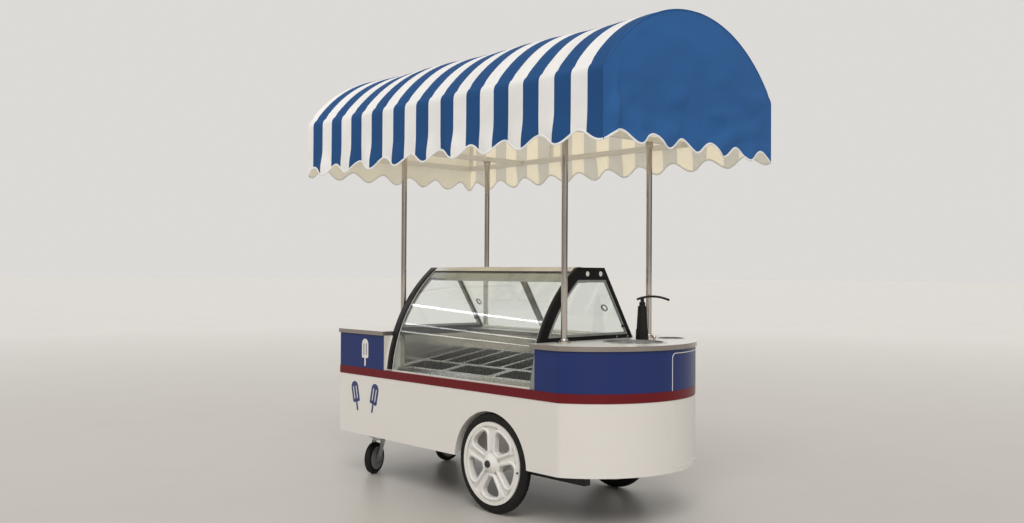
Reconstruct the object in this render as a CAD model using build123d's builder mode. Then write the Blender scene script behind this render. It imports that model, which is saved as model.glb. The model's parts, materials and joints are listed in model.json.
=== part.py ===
from build123d import *
import os
from math import cos, degrees, radians, sin, sqrt, tan

# Ice cream cart with a curved glass display, two side counters and a barrel canopy.
# Millimetres, +Z up, +X to the bowed end, -Y to the customers. The origin lies on the floor, mid body.

# Body plan and heights
cabinet_length = 457
body_width = 1000
bow_sag = 292
bow_corner_radius = 60
wall = 20
skirt_rise = 5
stripe_rise = 102
stripe_height = 46
stripe_proud = 2
counter_rise = 226
counter_thickness = 24
counter_overhang = 8
slab_gap = 3
seat_gap = 0.3

# Display between the cabinets
display_inner_length = 1170
end_plate_thickness = 12
end_arm_width = 48
end_top_height = 65
end_rear_width = 26
end_sill_height = 20
end_hole_radius = 14
end_hole_y = (-84, 18)
glass_radius = 848
glass_foot_inset = 15
glass_top_y = -152
glass_thickness = 8
side_glass_thickness = 6
display_height = 378
display_top_rear_y = 47
display_foot_y = 282
lamp_y = -110
lamp_width = 44
lamp_height = 16

# Sliding doors at the staff side of the display
door_rail_height = 22
door_head_v = 380
door_head_height = 30
door_rail_depth = 26
pane_thickness = 8
pane_end_gap = 2
pane_lap = 30
pane_meeting_x = -50
left_pane_depth = 2
right_pane_depth = 15
stile_width = 28
finger_hole_radius = 16
left_finger_inset = 62
right_finger_inset = 87

# Cold well and its pans
well_wall = 43
well_floor_thickness = 20
well_depth = 100
well_back_y = 140
well_shoulder_y = -378
deck_front_y = -415
deck_rise = 21
deck_tilt = 9
deck_sheet = 3
pan_sheet = 2
pan_flange = 7
pan_corner_radius = 16
pan_slack = 2
pan_end_gap = 3
front_pan_count = 3
front_pan_gap = 28
front_pan_width = 165
front_pan_depth = 86
front_pan_v = 95
rear_pan_count = 7
rear_pan_gap = 6
rear_pan_width = 360
rear_pan_depth = 112
rear_pan_v = 368

# Running gear
wheel_inset = 321
wheel_radius = 257
tyre_width = 50
tyre_inset = 8
tyre_crown_width = 24
tyre_shoulder_width = 41
tyre_shoulder_drop = 6
tyre_wall_drop = 19
tyre_height = 45
rim_lip = 20
rim_width = 58
rim_face_inset = 4
spoke_count = 5
spoke_root_radius = 66
spoke_tip_inset = 38
spoke_root_width = 50
spoke_tip_width = 64
spoke_thickness = 22
spoke_inset = 10
spoke_let_in = 20
spoke_tip_let_in = 7
spoke_rib_width = 17
spoke_rib_height = 8
hub_radius = 52
hub_nose_radius = 23
hub_nose_length = 20
hub_length = 84
cap_radius = 19
cap_length = 8
cap_edge = 3
cap_seat = 6
axle_radius = 15
axle_plate_length = 110
axle_plate_height = 80
axle_plate_drop = 20
axle_plate_sheet = 10
running_fit = 0.05
arch_gap = 19
arch_back = 8
arch_drop = 10
housing_sheet = 8
housing_depth = 100

# Casters under the left end
caster_inset = 315
caster_y = 303
caster_trail = 62
caster_wheel_radius = 95
caster_wheel_width = 42
caster_tyre_depth = 26
caster_shoulder_drop = 8
caster_axle_radius = 7
caster_fork_sheet = 6
fork_root_half = 25
fork_toe = 16
fork_toe_rise = 12
caster_side_gap = 6
caster_crown_radius = 42
caster_crown_height = 14
caster_crown_gap = 8
caster_plate_length = 110
caster_plate_width = 90
caster_plate_sheet = 7
caster_pin_radius = 12

# Underframe
frame_drop = 22
frame_height = 40
frame_width = 40
frame_y = 300
rail_drop = 45
rail_start_inset = 110
frame_start_inset = 25
frame_end_inset = 172
caster_member_width = 130
floor_sheet = 12

# Canopy
canopy_overhang = 130
canopy_width = 1324
canopy_eave_rise = 1252
canopy_rise = 358
valance_height = 266
lobe_drop = 54
notch_radius = 14
canopy_cloth = 4
canopy_bar = 30
ring_rise = 80
bow_bar = 20
bow_inset = 22.5
bow_count = 4
post_inset = 39
post_y = 332
post_radius = 16
post_flange_radius = 36
post_flange_height = 8

# Scallops: notches along a side, and the run from each end of the side to its nearest notch
front_notches = 10
front_first = 63
front_last = 151
end_notches = 6
end_first = 118
end_last = 95

# Counter fittings
sink_inset = 217
sink_radius = 148
sink_foot_radius = 106
sink_depth = 150
sink_sheet = 3
sink_flange = 16
waste_inset = 144
waste_y = 390
waste_radius = 65
waste_sheet = 4
waste_length = 60
waste_flange = 12
faucet_inset = 120
faucet_y = 178
faucet_base_radius = 34
faucet_base_height = 54
faucet_base_taper = 1
faucet_waist_radius = 30
faucet_top_radius = 23
faucet_height = 177
faucet_neck_radius = 16
faucet_neck_height = 21
faucet_cap_radius = 10
faucet_cap_height = 14
spout_radius = 6
spout_rise = 15
spout_tail = 30
spout_reach = 142
spout_drop = 12
spout_turn = 62

# Door in the bowed end
door_start_angle = 28
door_end_angle = 55
door_foot = 16
door_head = 12
door_gap = 5
hinge_pin_radius = 4
hinge_knuckle_radius = 7
hinge_knuckle_length = 26
hinge_leaf_sheet = 3
hinge_leaf_angle = 3
hinge_let_in = 1
hinge_inset = 82

# Refrigeration unit on the floor pan
unit_x = -350
unit_size = (420, 360, 200)
vent_count = 7
vent_pitch = 26
vent_length = 300
vent_height = 10

# Worked out from the values above
plate_x = display_inner_length / 2
cabinet_x = plate_x + well_wall
half_length = cabinet_x + cabinet_length
half_width = body_width / 2
bow_radius = (half_width**2 + bow_sag**2) / (2 * bow_sag)
bow_centre = half_length - bow_radius
skirt_z = wheel_radius + skirt_rise
stripe_z = 2 * wheel_radius + stripe_rise
ledge_z = stripe_z + stripe_height
counter_z = ledge_z + counter_rise
slab_z = counter_z - counter_thickness
slab_x = plate_x + end_plate_thickness + slab_gap
# The left end plate stands against its cabinet
plate_left_x = cabinet_x - end_plate_thickness
slab_left_x = cabinet_x + slab_gap
display_length = plate_left_x + plate_x
display_x = (plate_x - plate_left_x) / 2
display_top_z = counter_z + display_height
well_z = ledge_z - well_depth
deck_front_z = ledge_z + deck_rise
frame_z = skirt_z - frame_drop
floor_z = frame_z + frame_height
door_z = skirt_z + door_foot
door_top_z = slab_z - door_head
hinge_z = (door_z + hinge_inset, door_top_z - hinge_inset)
wheel_x = cabinet_x - wheel_inset
caster_x = -cabinet_x - caster_inset
fork_top = 2 * caster_wheel_radius + caster_crown_gap + caster_crown_height
caster_z = fork_top + seat_gap + caster_plate_sheet
sink_x = cabinet_x + sink_inset
waste_x = cabinet_x + waste_inset
faucet_x = cabinet_x + faucet_inset
post_x = cabinet_x + post_inset
canopy_half_length = half_length + canopy_overhang
canopy_length = 2 * canopy_half_length
canopy_half_width = canopy_width / 2
canopy_eave_z = counter_z + canopy_eave_rise
canopy_ridge_z = canopy_eave_z + canopy_rise
notch_z = canopy_eave_z - valance_height
canopy_radius = (canopy_half_width**2 + canopy_rise**2) / (2 * canopy_rise)
canopy_centre_z = canopy_ridge_z - canopy_radius
ring_z = notch_z + ring_rise
inner_y = half_width - wall
tyre_face = half_width - tyre_inset
rim_face = half_width - rim_face_inset
nose_face = rim_face + hub_nose_length
rim_radius = wheel_radius - tyre_height
spoke_tip_radius = rim_radius - spoke_tip_inset
arch_radius = wheel_radius + arch_gap
arch_x = wheel_x - arch_back
arch_z = wheel_radius - arch_drop
housing_radius = arch_radius + housing_sheet
spoke_middle = (spoke_root_radius + spoke_tip_radius) / 2

os.makedirs("parts", exist_ok=True)


def save(builder, name):
    """Labels a finished piece and writes its file."""
    builder.part.label = name
    export_step(builder.part, f"parts/{name}.step")


def block(x, y, z, mode=Mode.ADD):
    """Adds a block between two x, two y and two z values to the open part."""
    with Locations(((x[0] + x[1]) / 2, (y[0] + y[1]) / 2, (z[0] + z[1]) / 2)):
        Box(abs(x[1] - x[0]), abs(y[1] - y[0]), abs(z[1] - z[0]), mode=mode)


def body_plan(inset):
    """The body's plan, set in from the outer skin: square at the left, bowed at the right."""
    radius = bow_radius - inset
    half = half_width - inset
    left = -half_length + inset
    join = bow_centre + sqrt(radius**2 - half**2)
    with BuildSketch() as plan:
        with BuildLine():
            Polyline((join, half), (left, half), (left, -half), (join, -half))
            ThreePointArc((join, -half), (bow_centre + radius, 0), (join, half))
        make_face()
        fillet(plan.vertices().group_by(Axis.X)[-1], bow_corner_radius - inset)
    return plan.sketch


def bow_sector(inner, outer, start, end):
    """A band of the bowed end's plan between two radii and two angles."""
    with BuildSketch() as sector:
        with BuildLine():
            CenterArc((bow_centre, 0), outer, start, end - start)
            CenterArc((bow_centre, 0), inner, start, end - start)
            for angle in (start, end):
                direction = Vector(1, 0).rotate(Axis.Z, angle)
                Line(Vector(bow_centre, 0) + direction * inner, Vector(bow_centre, 0) + direction * outer)
        make_face()
    return sector.sketch


def cut_door(clearance):
    """Cuts the end door's way through the open part."""
    spread = degrees(clearance / bow_radius)
    start, end = door_start_angle - spread, door_end_angle + spread
    way = bow_sector(bow_radius - 2 * wall, bow_radius + wall, start, end)
    way = Plane.XY.offset(door_z - clearance) * way
    extrude(way, amount=door_top_z - door_z + 2 * clearance, mode=Mode.SUBTRACT)


# Lower body
with BuildPart() as front_panel:
    with BuildSketch(Plane.XZ.offset(half_width)):
        with Locations(((cabinet_x - half_length) / 2, (skirt_z + stripe_z) / 2)):
            Rectangle(cabinet_x + half_length, stripe_z - skirt_z)
        with Locations((arch_x, arch_z)):
            Circle(arch_radius, mode=Mode.SUBTRACT)
    extrude(amount=-wall)
save(front_panel, "front_panel")

with BuildPart() as rear_panel:
    mirror(front_panel.part, about=Plane.XZ)
    with BuildSketch(Plane.XZ.offset(-half_width)):
        with Locations((unit_x, floor_z + floor_sheet + unit_size[2] / 2)):
            with GridLocations(vent_pitch, vent_pitch, 1, vent_count):
                SlotOverall(vent_length, vent_height)
    extrude(amount=wall, both=True, mode=Mode.SUBTRACT)
save(rear_panel, "rear_panel")

with BuildPart() as left_panel:
    block((-half_length, -half_length + wall), (-inner_y, inner_y), (skirt_z, stripe_z))
save(left_panel, "left_panel")

with BuildPart() as bow_panel:
    with BuildSketch(Plane.XY.offset(skirt_z)):
        add(body_plan(0))
        add(body_plan(wall), mode=Mode.SUBTRACT)
    extrude(amount=stripe_z - skirt_z)
    split(bisect_by=Plane.YZ.offset(cabinet_x))
    cut_door(door_gap)
save(bow_panel, "bow_panel")

with BuildPart() as stripe_band:
    with BuildSketch(Plane.XY.offset(stripe_z)):
        add(body_plan(-stripe_proud))
        add(body_plan(wall), mode=Mode.SUBTRACT)
    extrude(amount=stripe_height)
    cut_door(door_gap)
save(stripe_band, "stripe_band")

# Upper cabinets
with BuildPart() as left_cabinet:
    block((-half_length, -cabinet_x), (-half_width, half_width), (ledge_z, slab_z))
    block((-half_length + wall, -cabinet_x - wall), (-inner_y, inner_y), (ledge_z, slab_z), Mode.SUBTRACT)
save(left_cabinet, "left_cabinet")

with BuildPart() as right_cabinet:
    with BuildSketch(Plane.XY.offset(ledge_z)):
        add(body_plan(0))
        add(body_plan(wall), mode=Mode.SUBTRACT)
    extrude(amount=slab_z - ledge_z)
    split(bisect_by=Plane.YZ.offset(cabinet_x))
    block((cabinet_x, cabinet_x + wall), (-inner_y, inner_y), (ledge_z, slab_z))
    cut_door(door_gap)
save(right_cabinet, "right_cabinet")

with BuildPart() as rear_apron:
    block((-cabinet_x, cabinet_x), (inner_y, half_width), (ledge_z, slab_z))
save(rear_apron, "rear_apron")

# Counters
counter_y = half_width + counter_overhang
with BuildPart() as left_counter:
    block((-half_length - counter_overhang, -slab_left_x), (-counter_y, counter_y), (slab_z, counter_z))
save(left_counter, "left_counter")

with BuildPart() as right_counter:
    with BuildSketch(Plane.XY.offset(slab_z)):
        add(body_plan(-counter_overhang))
        with Locations((sink_x, 0)):
            Circle(sink_radius, mode=Mode.SUBTRACT)
        with Locations((waste_x, waste_y)):
            Circle(waste_radius + waste_sheet + seat_gap, mode=Mode.SUBTRACT)
    extrude(amount=counter_thickness)
    split(bisect_by=Plane.YZ.offset(slab_x))
save(right_counter, "right_counter")

with BuildPart() as rear_counter:
    block((-slab_left_x, slab_x), (well_back_y, counter_y), (slab_z, counter_z))
save(rear_counter, "rear_counter")

with BuildPart() as sink_bowl:
    bowl_top = sink_radius - seat_gap
    with BuildSketch(Plane((sink_x, 0, 0), x_dir=(1, 0, 0), z_dir=(0, -1, 0))):
        with BuildLine():
            Polyline(
                (0, counter_z - sink_depth),
                (sink_foot_radius, counter_z - sink_depth),
                (bowl_top, slab_z),
                (bowl_top, counter_z),
                (sink_radius + sink_flange, counter_z),
                (sink_radius + sink_flange, counter_z + sink_sheet),
                (bowl_top - sink_sheet, counter_z + sink_sheet),
                (bowl_top - sink_sheet, slab_z),
                (sink_foot_radius - sink_sheet, counter_z - sink_depth + sink_sheet),
                (0, counter_z - sink_depth + sink_sheet),
                close=True,
            )
        make_face()
    revolve(axis=Axis((sink_x, 0, 0), (0, 0, 1)))
save(sink_bowl, "sink_bowl")

with BuildPart() as waste_ring:
    with BuildSketch(Plane((waste_x, waste_y, counter_z - waste_length))):
        Circle(waste_radius + waste_sheet)
        Circle(waste_radius, mode=Mode.SUBTRACT)
    extrude(amount=waste_length)
    with BuildSketch(Plane((waste_x, waste_y, counter_z))):
        Circle(waste_radius + waste_flange)
        Circle(waste_radius, mode=Mode.SUBTRACT)
    extrude(amount=waste_sheet / 2)
save(waste_ring, "waste_ring")

spout_way = (cos(radians(spout_turn)), sin(radians(spout_turn)), 0)
faucet_plane = Plane((faucet_x, faucet_y, counter_z), x_dir=spout_way)
with BuildPart() as faucet_body:
    with BuildSketch(faucet_plane):
        Circle(faucet_base_radius)
    extrude(amount=faucet_base_height, taper=faucet_base_taper)
    with BuildSketch(faucet_plane.offset(faucet_base_height)):
        Circle(faucet_waist_radius)
    with BuildSketch(faucet_plane.offset(faucet_height)):
        Circle(faucet_top_radius)
    loft()
    with BuildSketch(faucet_plane.offset(faucet_height)):
        Circle(faucet_neck_radius)
    extrude(amount=faucet_neck_height)
save(faucet_body, "faucet_body")

neck_z = faucet_height + faucet_neck_height
spout_z = neck_z + faucet_cap_height
with BuildPart() as faucet_spout:
    with BuildSketch(faucet_plane.offset(neck_z)):
        Circle(faucet_cap_radius)
    extrude(amount=faucet_cap_height + spout_rise / 2)
    spout_plane = Plane(faucet_plane.origin, x_dir=faucet_plane.x_dir, z_dir=-faucet_plane.y_dir)
    with BuildLine(spout_plane) as spout_path:
        crest = (spout_reach / 2, spout_z + spout_rise)
        arch = ThreePointArc((-spout_tail, spout_z), crest, (spout_reach, spout_z))
        Line(arch @ 1, (arch @ 1) + (arch % 1) * spout_drop)
    with BuildSketch(Plane(spout_path.line @ 0, z_dir=spout_path.line % 0)):
        Circle(spout_radius)
    sweep(path=spout_path.line, transition=Transition.ROUND)
save(faucet_spout, "faucet_spout")

# Display ends: a black plate each, with a curved front arm that reaches down to the ledge
glass_foot = Vector(-half_width + glass_foot_inset, ledge_z)
glass_chord = Vector(glass_top_y, display_top_z) - glass_foot
chord_middle = glass_foot + glass_chord / 2
centre_reach = sqrt(glass_radius**2 - glass_chord.length**2 / 4)
glass_centre = chord_middle + glass_chord.rotate(Axis.Z, -90).normalized() * centre_reach
glass_centre_y = glass_centre.X
glass_centre_z = glass_centre.Y
rear_slope = Vector(display_top_rear_y - display_foot_y, display_top_z - counter_z).normalized()
rear_shift = end_rear_width / rear_slope.Y


def arc_y(radius, z):
    """Where an arc about the front glass's centre line stands at a height."""
    return glass_centre_y - sqrt(radius**2 - (z - glass_centre_z) ** 2)


def arc_points(radius, low_z, high_z):
    """Start, middle and end of such an arc between two heights."""
    return [(arc_y(radius, z), z) for z in (low_z, (low_z + high_z) / 2, high_z)]


def rear_y(z, shift=0):
    """Where the sloping rear edge of the display stands at a height."""
    return display_foot_y + (z - counter_z) * rear_slope.X / rear_slope.Y - shift


arm_radius = glass_radius - end_arm_width
sill_z = counter_z + end_sill_height
brow_z = display_top_z - end_top_height


def end_opening(inset):
    """The see-through part of a display end."""
    radius = arm_radius - inset
    low, high = sill_z + inset, brow_z - inset
    with BuildSketch() as opening:
        with BuildLine():
            arc = ThreePointArc(*arc_points(radius, low, high))
            back = rear_shift + inset
            Polyline(arc @ 1, (rear_y(high, back), high), (rear_y(low, back), low), arc @ 0)
        make_face()
    return opening.sketch


end_sides = (("left", -plate_left_x - end_plate_thickness), ("right", plate_x))
for side, plate_start_x in end_sides:
    with BuildPart() as end_plate:
        with BuildSketch(Plane.YZ.offset(plate_start_x)):
            with BuildLine():
                outer = ThreePointArc(*arc_points(glass_radius, ledge_z, display_top_z))
                arm = ThreePointArc(*arc_points(arm_radius, ledge_z, slab_z))
                Polyline(
                    outer @ 1,
                    (display_top_rear_y, display_top_z),
                    (display_foot_y, counter_z),
                    (well_back_y, counter_z),
                    (well_back_y, slab_z),
                    arm @ 1,
                )
                Line(arm @ 0, outer @ 0)
            make_face()
            add(end_opening(0), mode=Mode.SUBTRACT)
            with Locations(*[(y, display_top_z - end_top_height / 2) for y in end_hole_y]):
                Circle(end_hole_radius, mode=Mode.SUBTRACT)
        extrude(amount=end_plate_thickness)
    save(end_plate, f"display_end_{side}")

with BuildPart() as side_glass:
    for side, plate_start_x in end_sides:
        with BuildSketch(Plane.YZ.offset(plate_start_x + (end_plate_thickness - side_glass_thickness) / 2)):
            add(end_opening(seat_gap))
        extrude(amount=side_glass_thickness)
save(side_glass, "side_glass")

with BuildPart() as front_glass:
    with BuildSketch(Plane.YZ.offset(-plate_left_x)):
        with BuildLine():
            outer = ThreePointArc(*arc_points(glass_radius, ledge_z, display_top_z))
            inner = ThreePointArc(*arc_points(glass_radius - glass_thickness, ledge_z, display_top_z))
            Line(outer @ 0, inner @ 0)
            Line(outer @ 1, inner @ 1)
        make_face()
    extrude(amount=display_length)
save(front_glass, "front_glass")

with BuildPart() as display_top:
    with BuildSketch(Plane.YZ.offset(-plate_left_x)):
        with BuildLine():
            nose_radius = glass_radius - glass_thickness - seat_gap
            nose = ThreePointArc(*arc_points(nose_radius, brow_z, display_top_z))
            top_rear_y = display_top_rear_y - door_rail_depth
            Polyline(nose @ 1, (top_rear_y, display_top_z), (top_rear_y, brow_z), nose @ 0)
        make_face()
    extrude(amount=display_length)
save(display_top, "display_top")

with BuildPart() as lamp:
    with BuildSketch(Plane.YZ.offset(-plate_left_x)):
        with Locations((lamp_y, brow_z)):
            Rectangle(lamp_width, lamp_height, align=(Align.CENTER, Align.MAX))
    extrude(amount=display_length)
save(lamp, "lamp")

# Rear frame and sliding doors, drawn in the sloping rear plane: x along the cart, y up the slope
rear_plane = Plane(
    origin=(0, display_foot_y, counter_z),
    x_dir=(1, 0, 0),
    z_dir=(0, -rear_slope.Y, rear_slope.X),
)
with BuildPart() as rear_frame:
    rails = ((0, door_rail_height), (door_head_v, door_head_v + door_head_height))
    for low, high in rails:
        with BuildSketch(rear_plane):
            with Locations((display_x, (low + high) / 2)):
                Rectangle(display_length, high - low)
        extrude(amount=door_rail_depth)
    # The lower rail stands flat on the counter
    split(bisect_by=Plane.XY.offset(counter_z))
save(rear_frame, "rear_frame")

pane_low = door_rail_height + seat_gap
pane_high = door_head_v - seat_gap
# Side, direction from the middle, outer end, depth of the outer face, finger hole's inset
pane_table = (
    ("left", -1, pane_end_gap - plate_left_x, left_pane_depth, left_finger_inset),
    ("right", 1, plate_x - pane_end_gap, right_pane_depth, right_finger_inset),
)
for side, sign, outer_x, depth, hole_inset in pane_table:
    meeting_x = pane_meeting_x - sign * pane_lap / 2
    stile_x = meeting_x + sign * stile_width
    with BuildPart() as pane:
        with BuildSketch(rear_plane.offset(depth)):
            with Locations(((outer_x + stile_x) / 2, (pane_low + pane_high) / 2)):
                Rectangle(abs(outer_x - stile_x), pane_high - pane_low)
            with Locations((outer_x - sign * hole_inset, (pane_low + pane_high) / 2)):
                Circle(finger_hole_radius, mode=Mode.SUBTRACT)
        extrude(amount=pane_thickness)
    save(pane, f"sliding_door_{side}")

    with BuildPart() as stile:
        with BuildSketch(rear_plane.offset(depth)):
            with Locations(((meeting_x + stile_x) / 2, (pane_low + pane_high) / 2)):
                Rectangle(stile_width, pane_high - pane_low)
        extrude(amount=pane_thickness)
    save(stile, f"door_stile_{side}")

# Cold well, pan rack and pans
well_front_y = -inner_y
well_rear_y = well_back_y + well_wall
with BuildPart() as cold_well:
    block((-cabinet_x, cabinet_x), (well_front_y, well_rear_y), (well_z, well_z + well_floor_thickness))
    block((-cabinet_x, cabinet_x), (well_front_y, well_front_y + well_wall), (well_z, ledge_z))
    block((-cabinet_x, cabinet_x), (well_back_y, well_rear_y), (well_z, slab_z))
    for start_x in (-cabinet_x, plate_x):
        with BuildSketch(Plane.YZ.offset(start_x)):
            with BuildLine():
                Polyline(
                    (well_front_y, well_z),
                    (well_rear_y, well_z),
                    (well_rear_y, slab_z),
                    (well_shoulder_y, slab_z),
                    (well_shoulder_y, ledge_z),
                    (well_front_y, ledge_z),
                    close=True,
                )
            make_face()
        extrude(amount=cabinet_x - plate_x)
save(cold_well, "cold_well")

deck_run = well_back_y - deck_front_y
deck_rear_z = deck_front_z + deck_run * tan(radians(deck_tilt))
lip_y = well_front_y + well_wall
deck_profile = (
    (lip_y - well_wall / 2, ledge_z),
    (lip_y, ledge_z),
    (deck_front_y, deck_front_z - deck_sheet),
    (well_back_y, deck_rear_z - deck_sheet),
    (well_back_y, deck_rear_z),
    (deck_front_y, deck_front_z),
    (lip_y, ledge_z + deck_sheet),
    (lip_y - well_wall / 2, ledge_z + deck_sheet),
)
deck_plane = Plane(
    origin=(0, deck_front_y, deck_front_z),
    x_dir=(1, 0, 0),
    z_dir=(0, -sin(radians(deck_tilt)), cos(radians(deck_tilt))),
)
# Row, count along the cart, pitch, rim length along the cart and up the slope, depth, middle of the row
pan_room = display_inner_length - 2 * pan_end_gap
front_pitch = pan_room / front_pan_count
rear_pitch = pan_room / rear_pan_count
front_length = front_pitch - front_pan_gap
rear_length = rear_pitch - rear_pan_gap
pan_rows = (
    ("front_pans", front_pan_count, front_pitch, front_length, front_pan_width, front_pan_depth, front_pan_v),
    ("rear_pans", rear_pan_count, rear_pitch, rear_length, rear_pan_width, rear_pan_depth, rear_pan_v),
)
with BuildPart() as pan_rack:
    with BuildSketch(Plane.YZ.offset(-plate_x)):
        with BuildLine():
            Polyline(*deck_profile, close=True)
        make_face()
    extrude(amount=display_inner_length)
    for name, count, pitch, length, width, depth, middle in pan_rows:
        with BuildSketch(deck_plane):
            with Locations((0, middle)):
                with GridLocations(pitch, 1, count, 1):
                    Rectangle(length - 2 * (pan_flange - pan_slack), width - 2 * (pan_flange - pan_slack))
        extrude(amount=2 * deck_sheet, both=True, mode=Mode.SUBTRACT)
save(pan_rack, "pan_rack")

for name, count, pitch, length, width, depth, middle in pan_rows:
    with BuildPart() as pans:
        with BuildSketch(deck_plane):
            with Locations((0, middle)):
                with GridLocations(pitch, 1, count, 1):
                    RectangleRounded(length, width, pan_corner_radius)
        extrude(amount=pan_sheet)
        # Inset from the rim, height of the start over the deck, depth, mode
        tub_sizes = (
            (pan_flange, 0, depth, Mode.ADD),
            (pan_flange + pan_sheet, pan_sheet, depth, Mode.SUBTRACT),
        )
        for inset, top, drop, mode in tub_sizes:
            with BuildSketch(deck_plane.offset(top)):
                with Locations((0, middle)):
                    with GridLocations(pitch, 1, count, 1):
                        RectangleRounded(length - 2 * inset, width - 2 * inset, pan_corner_radius - pan_sheet)
            extrude(amount=-drop, mode=mode)
    save(pans, name)

# Underframe, floor and wheel housings
frame_start_x = -half_length + frame_start_inset
frame_end_x = cabinet_x + frame_end_inset
rail_start_x = wheel_x - rail_start_inset
# Middle x, width and foot of each cross member
cross_members = (
    (frame_start_x + frame_width / 2, frame_width, frame_z),
    (caster_x, caster_member_width, caster_z),
    (unit_x - unit_size[0] / 3, frame_width, frame_z),
    (arch_x - housing_radius - frame_width, frame_width, frame_z),
    (arch_x + housing_radius + frame_width, frame_width, frame_z),
    (frame_end_x - frame_width / 2, frame_width, frame_z),
)
with BuildPart() as underframe:
    for sign in (-1, 1):
        side = (sign * frame_y - frame_width / 2, sign * frame_y + frame_width / 2)
        block((frame_start_x, frame_end_x), side, (frame_z, floor_z))
        block((rail_start_x, frame_end_x), side, (frame_z - rail_drop, frame_z))
    for middle, width, foot_z in cross_members:
        cross_y = frame_y + caster_plate_width / 2
        block((middle - width / 2, middle + width / 2), (-cross_y, cross_y), (foot_z, floor_z))
save(underframe, "underframe")

with BuildPart() as floor_pan:
    with BuildSketch(Plane.XY.offset(floor_z)):
        add(body_plan(wall + seat_gap))
        for sign in (-1, 1):
            with Locations((arch_x, sign * (half_width - (housing_depth + wall + housing_sheet) / 2))):
                Rectangle(2 * housing_radius, housing_depth + wall + housing_sheet, mode=Mode.SUBTRACT)
    extrude(amount=floor_sheet)
save(floor_pan, "floor_pan")

with BuildPart() as wheel_housings:
    for inner, depth_start, depth in ((arch_radius, 0, housing_depth), (0, housing_depth, housing_sheet)):
        with BuildSketch(Plane.XZ.offset(inner_y - depth_start)):
            with Locations((arch_x, arch_z)):
                Circle(housing_radius)
                if inner:
                    Circle(inner, mode=Mode.SUBTRACT)
            with Locations((arch_x, floor_z)):
                below = 3 * housing_radius
                Rectangle(below, below, align=(Align.CENTER, Align.MAX), mode=Mode.SUBTRACT)
        extrude(amount=-depth)
    mirror(about=Plane.XZ)
save(wheel_housings, "wheel_housings")

with BuildPart() as cooling_unit:
    base_z = floor_z + floor_sheet
    with Locations((unit_x, 0, base_z + unit_size[2] / 2)):
        Box(*unit_size)
save(cooling_unit, "cooling_unit")

stub_y = frame_y + frame_width / 2
with BuildPart() as axle_stubs:
    for sign in (-1, 1):
        stub_plane = Plane((wheel_x, sign * stub_y, wheel_radius), x_dir=(-sign, 0, 0), z_dir=(0, sign, 0))
        with BuildSketch(stub_plane):
            with Locations((0, -axle_plate_drop)):
                Rectangle(axle_plate_length, axle_plate_height)
        extrude(amount=axle_plate_sheet)
        with BuildSketch(stub_plane):
            Circle(axle_radius)
        extrude(amount=nose_face - cap_seat - stub_y)
save(axle_stubs, "axle_stubs")

# Main wheels: tyre, moulded five-spoke rim and hub cap on each side
wheel_sides = (("front", -1), ("rear", 1))


def spoke_outline(inset):
    """A spoke about its own middle, pointing along x, set in from its long edges and let into hub and rim."""
    half = (spoke_tip_radius - spoke_root_radius) / 2
    root, tip = spoke_root_width / 2 - inset, spoke_tip_width / 2 - inset
    inner, outer = -half - spoke_let_in, half + spoke_tip_let_in
    return ((inner, -root), (outer, -tip), (outer, tip), (inner, root))


def wheel_plane(sign, distance):
    """A plane across a main wheel's axle, facing out, with its y up."""
    return Plane((wheel_x, sign * distance, wheel_radius), x_dir=(-sign, 0, 0), z_dir=(0, sign, 0))


# Half width and height over the axle, from the bead out to the crown
tyre_corners = (
    (tyre_width / 2, rim_radius),
    (tyre_width / 2, wheel_radius - tyre_wall_drop),
    (tyre_shoulder_width / 2, wheel_radius - tyre_shoulder_drop),
    (tyre_crown_width / 2, wheel_radius),
)


def tyre_section(sign):
    """A main tyre's section over its axle, with sloped shoulders."""
    middle = sign * (tyre_face - tyre_width / 2)
    near = [(middle + half, wheel_radius + reach) for half, reach in tyre_corners]
    far = [(middle - half, wheel_radius + reach) for half, reach in reversed(tyre_corners)]
    return near + far


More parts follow.
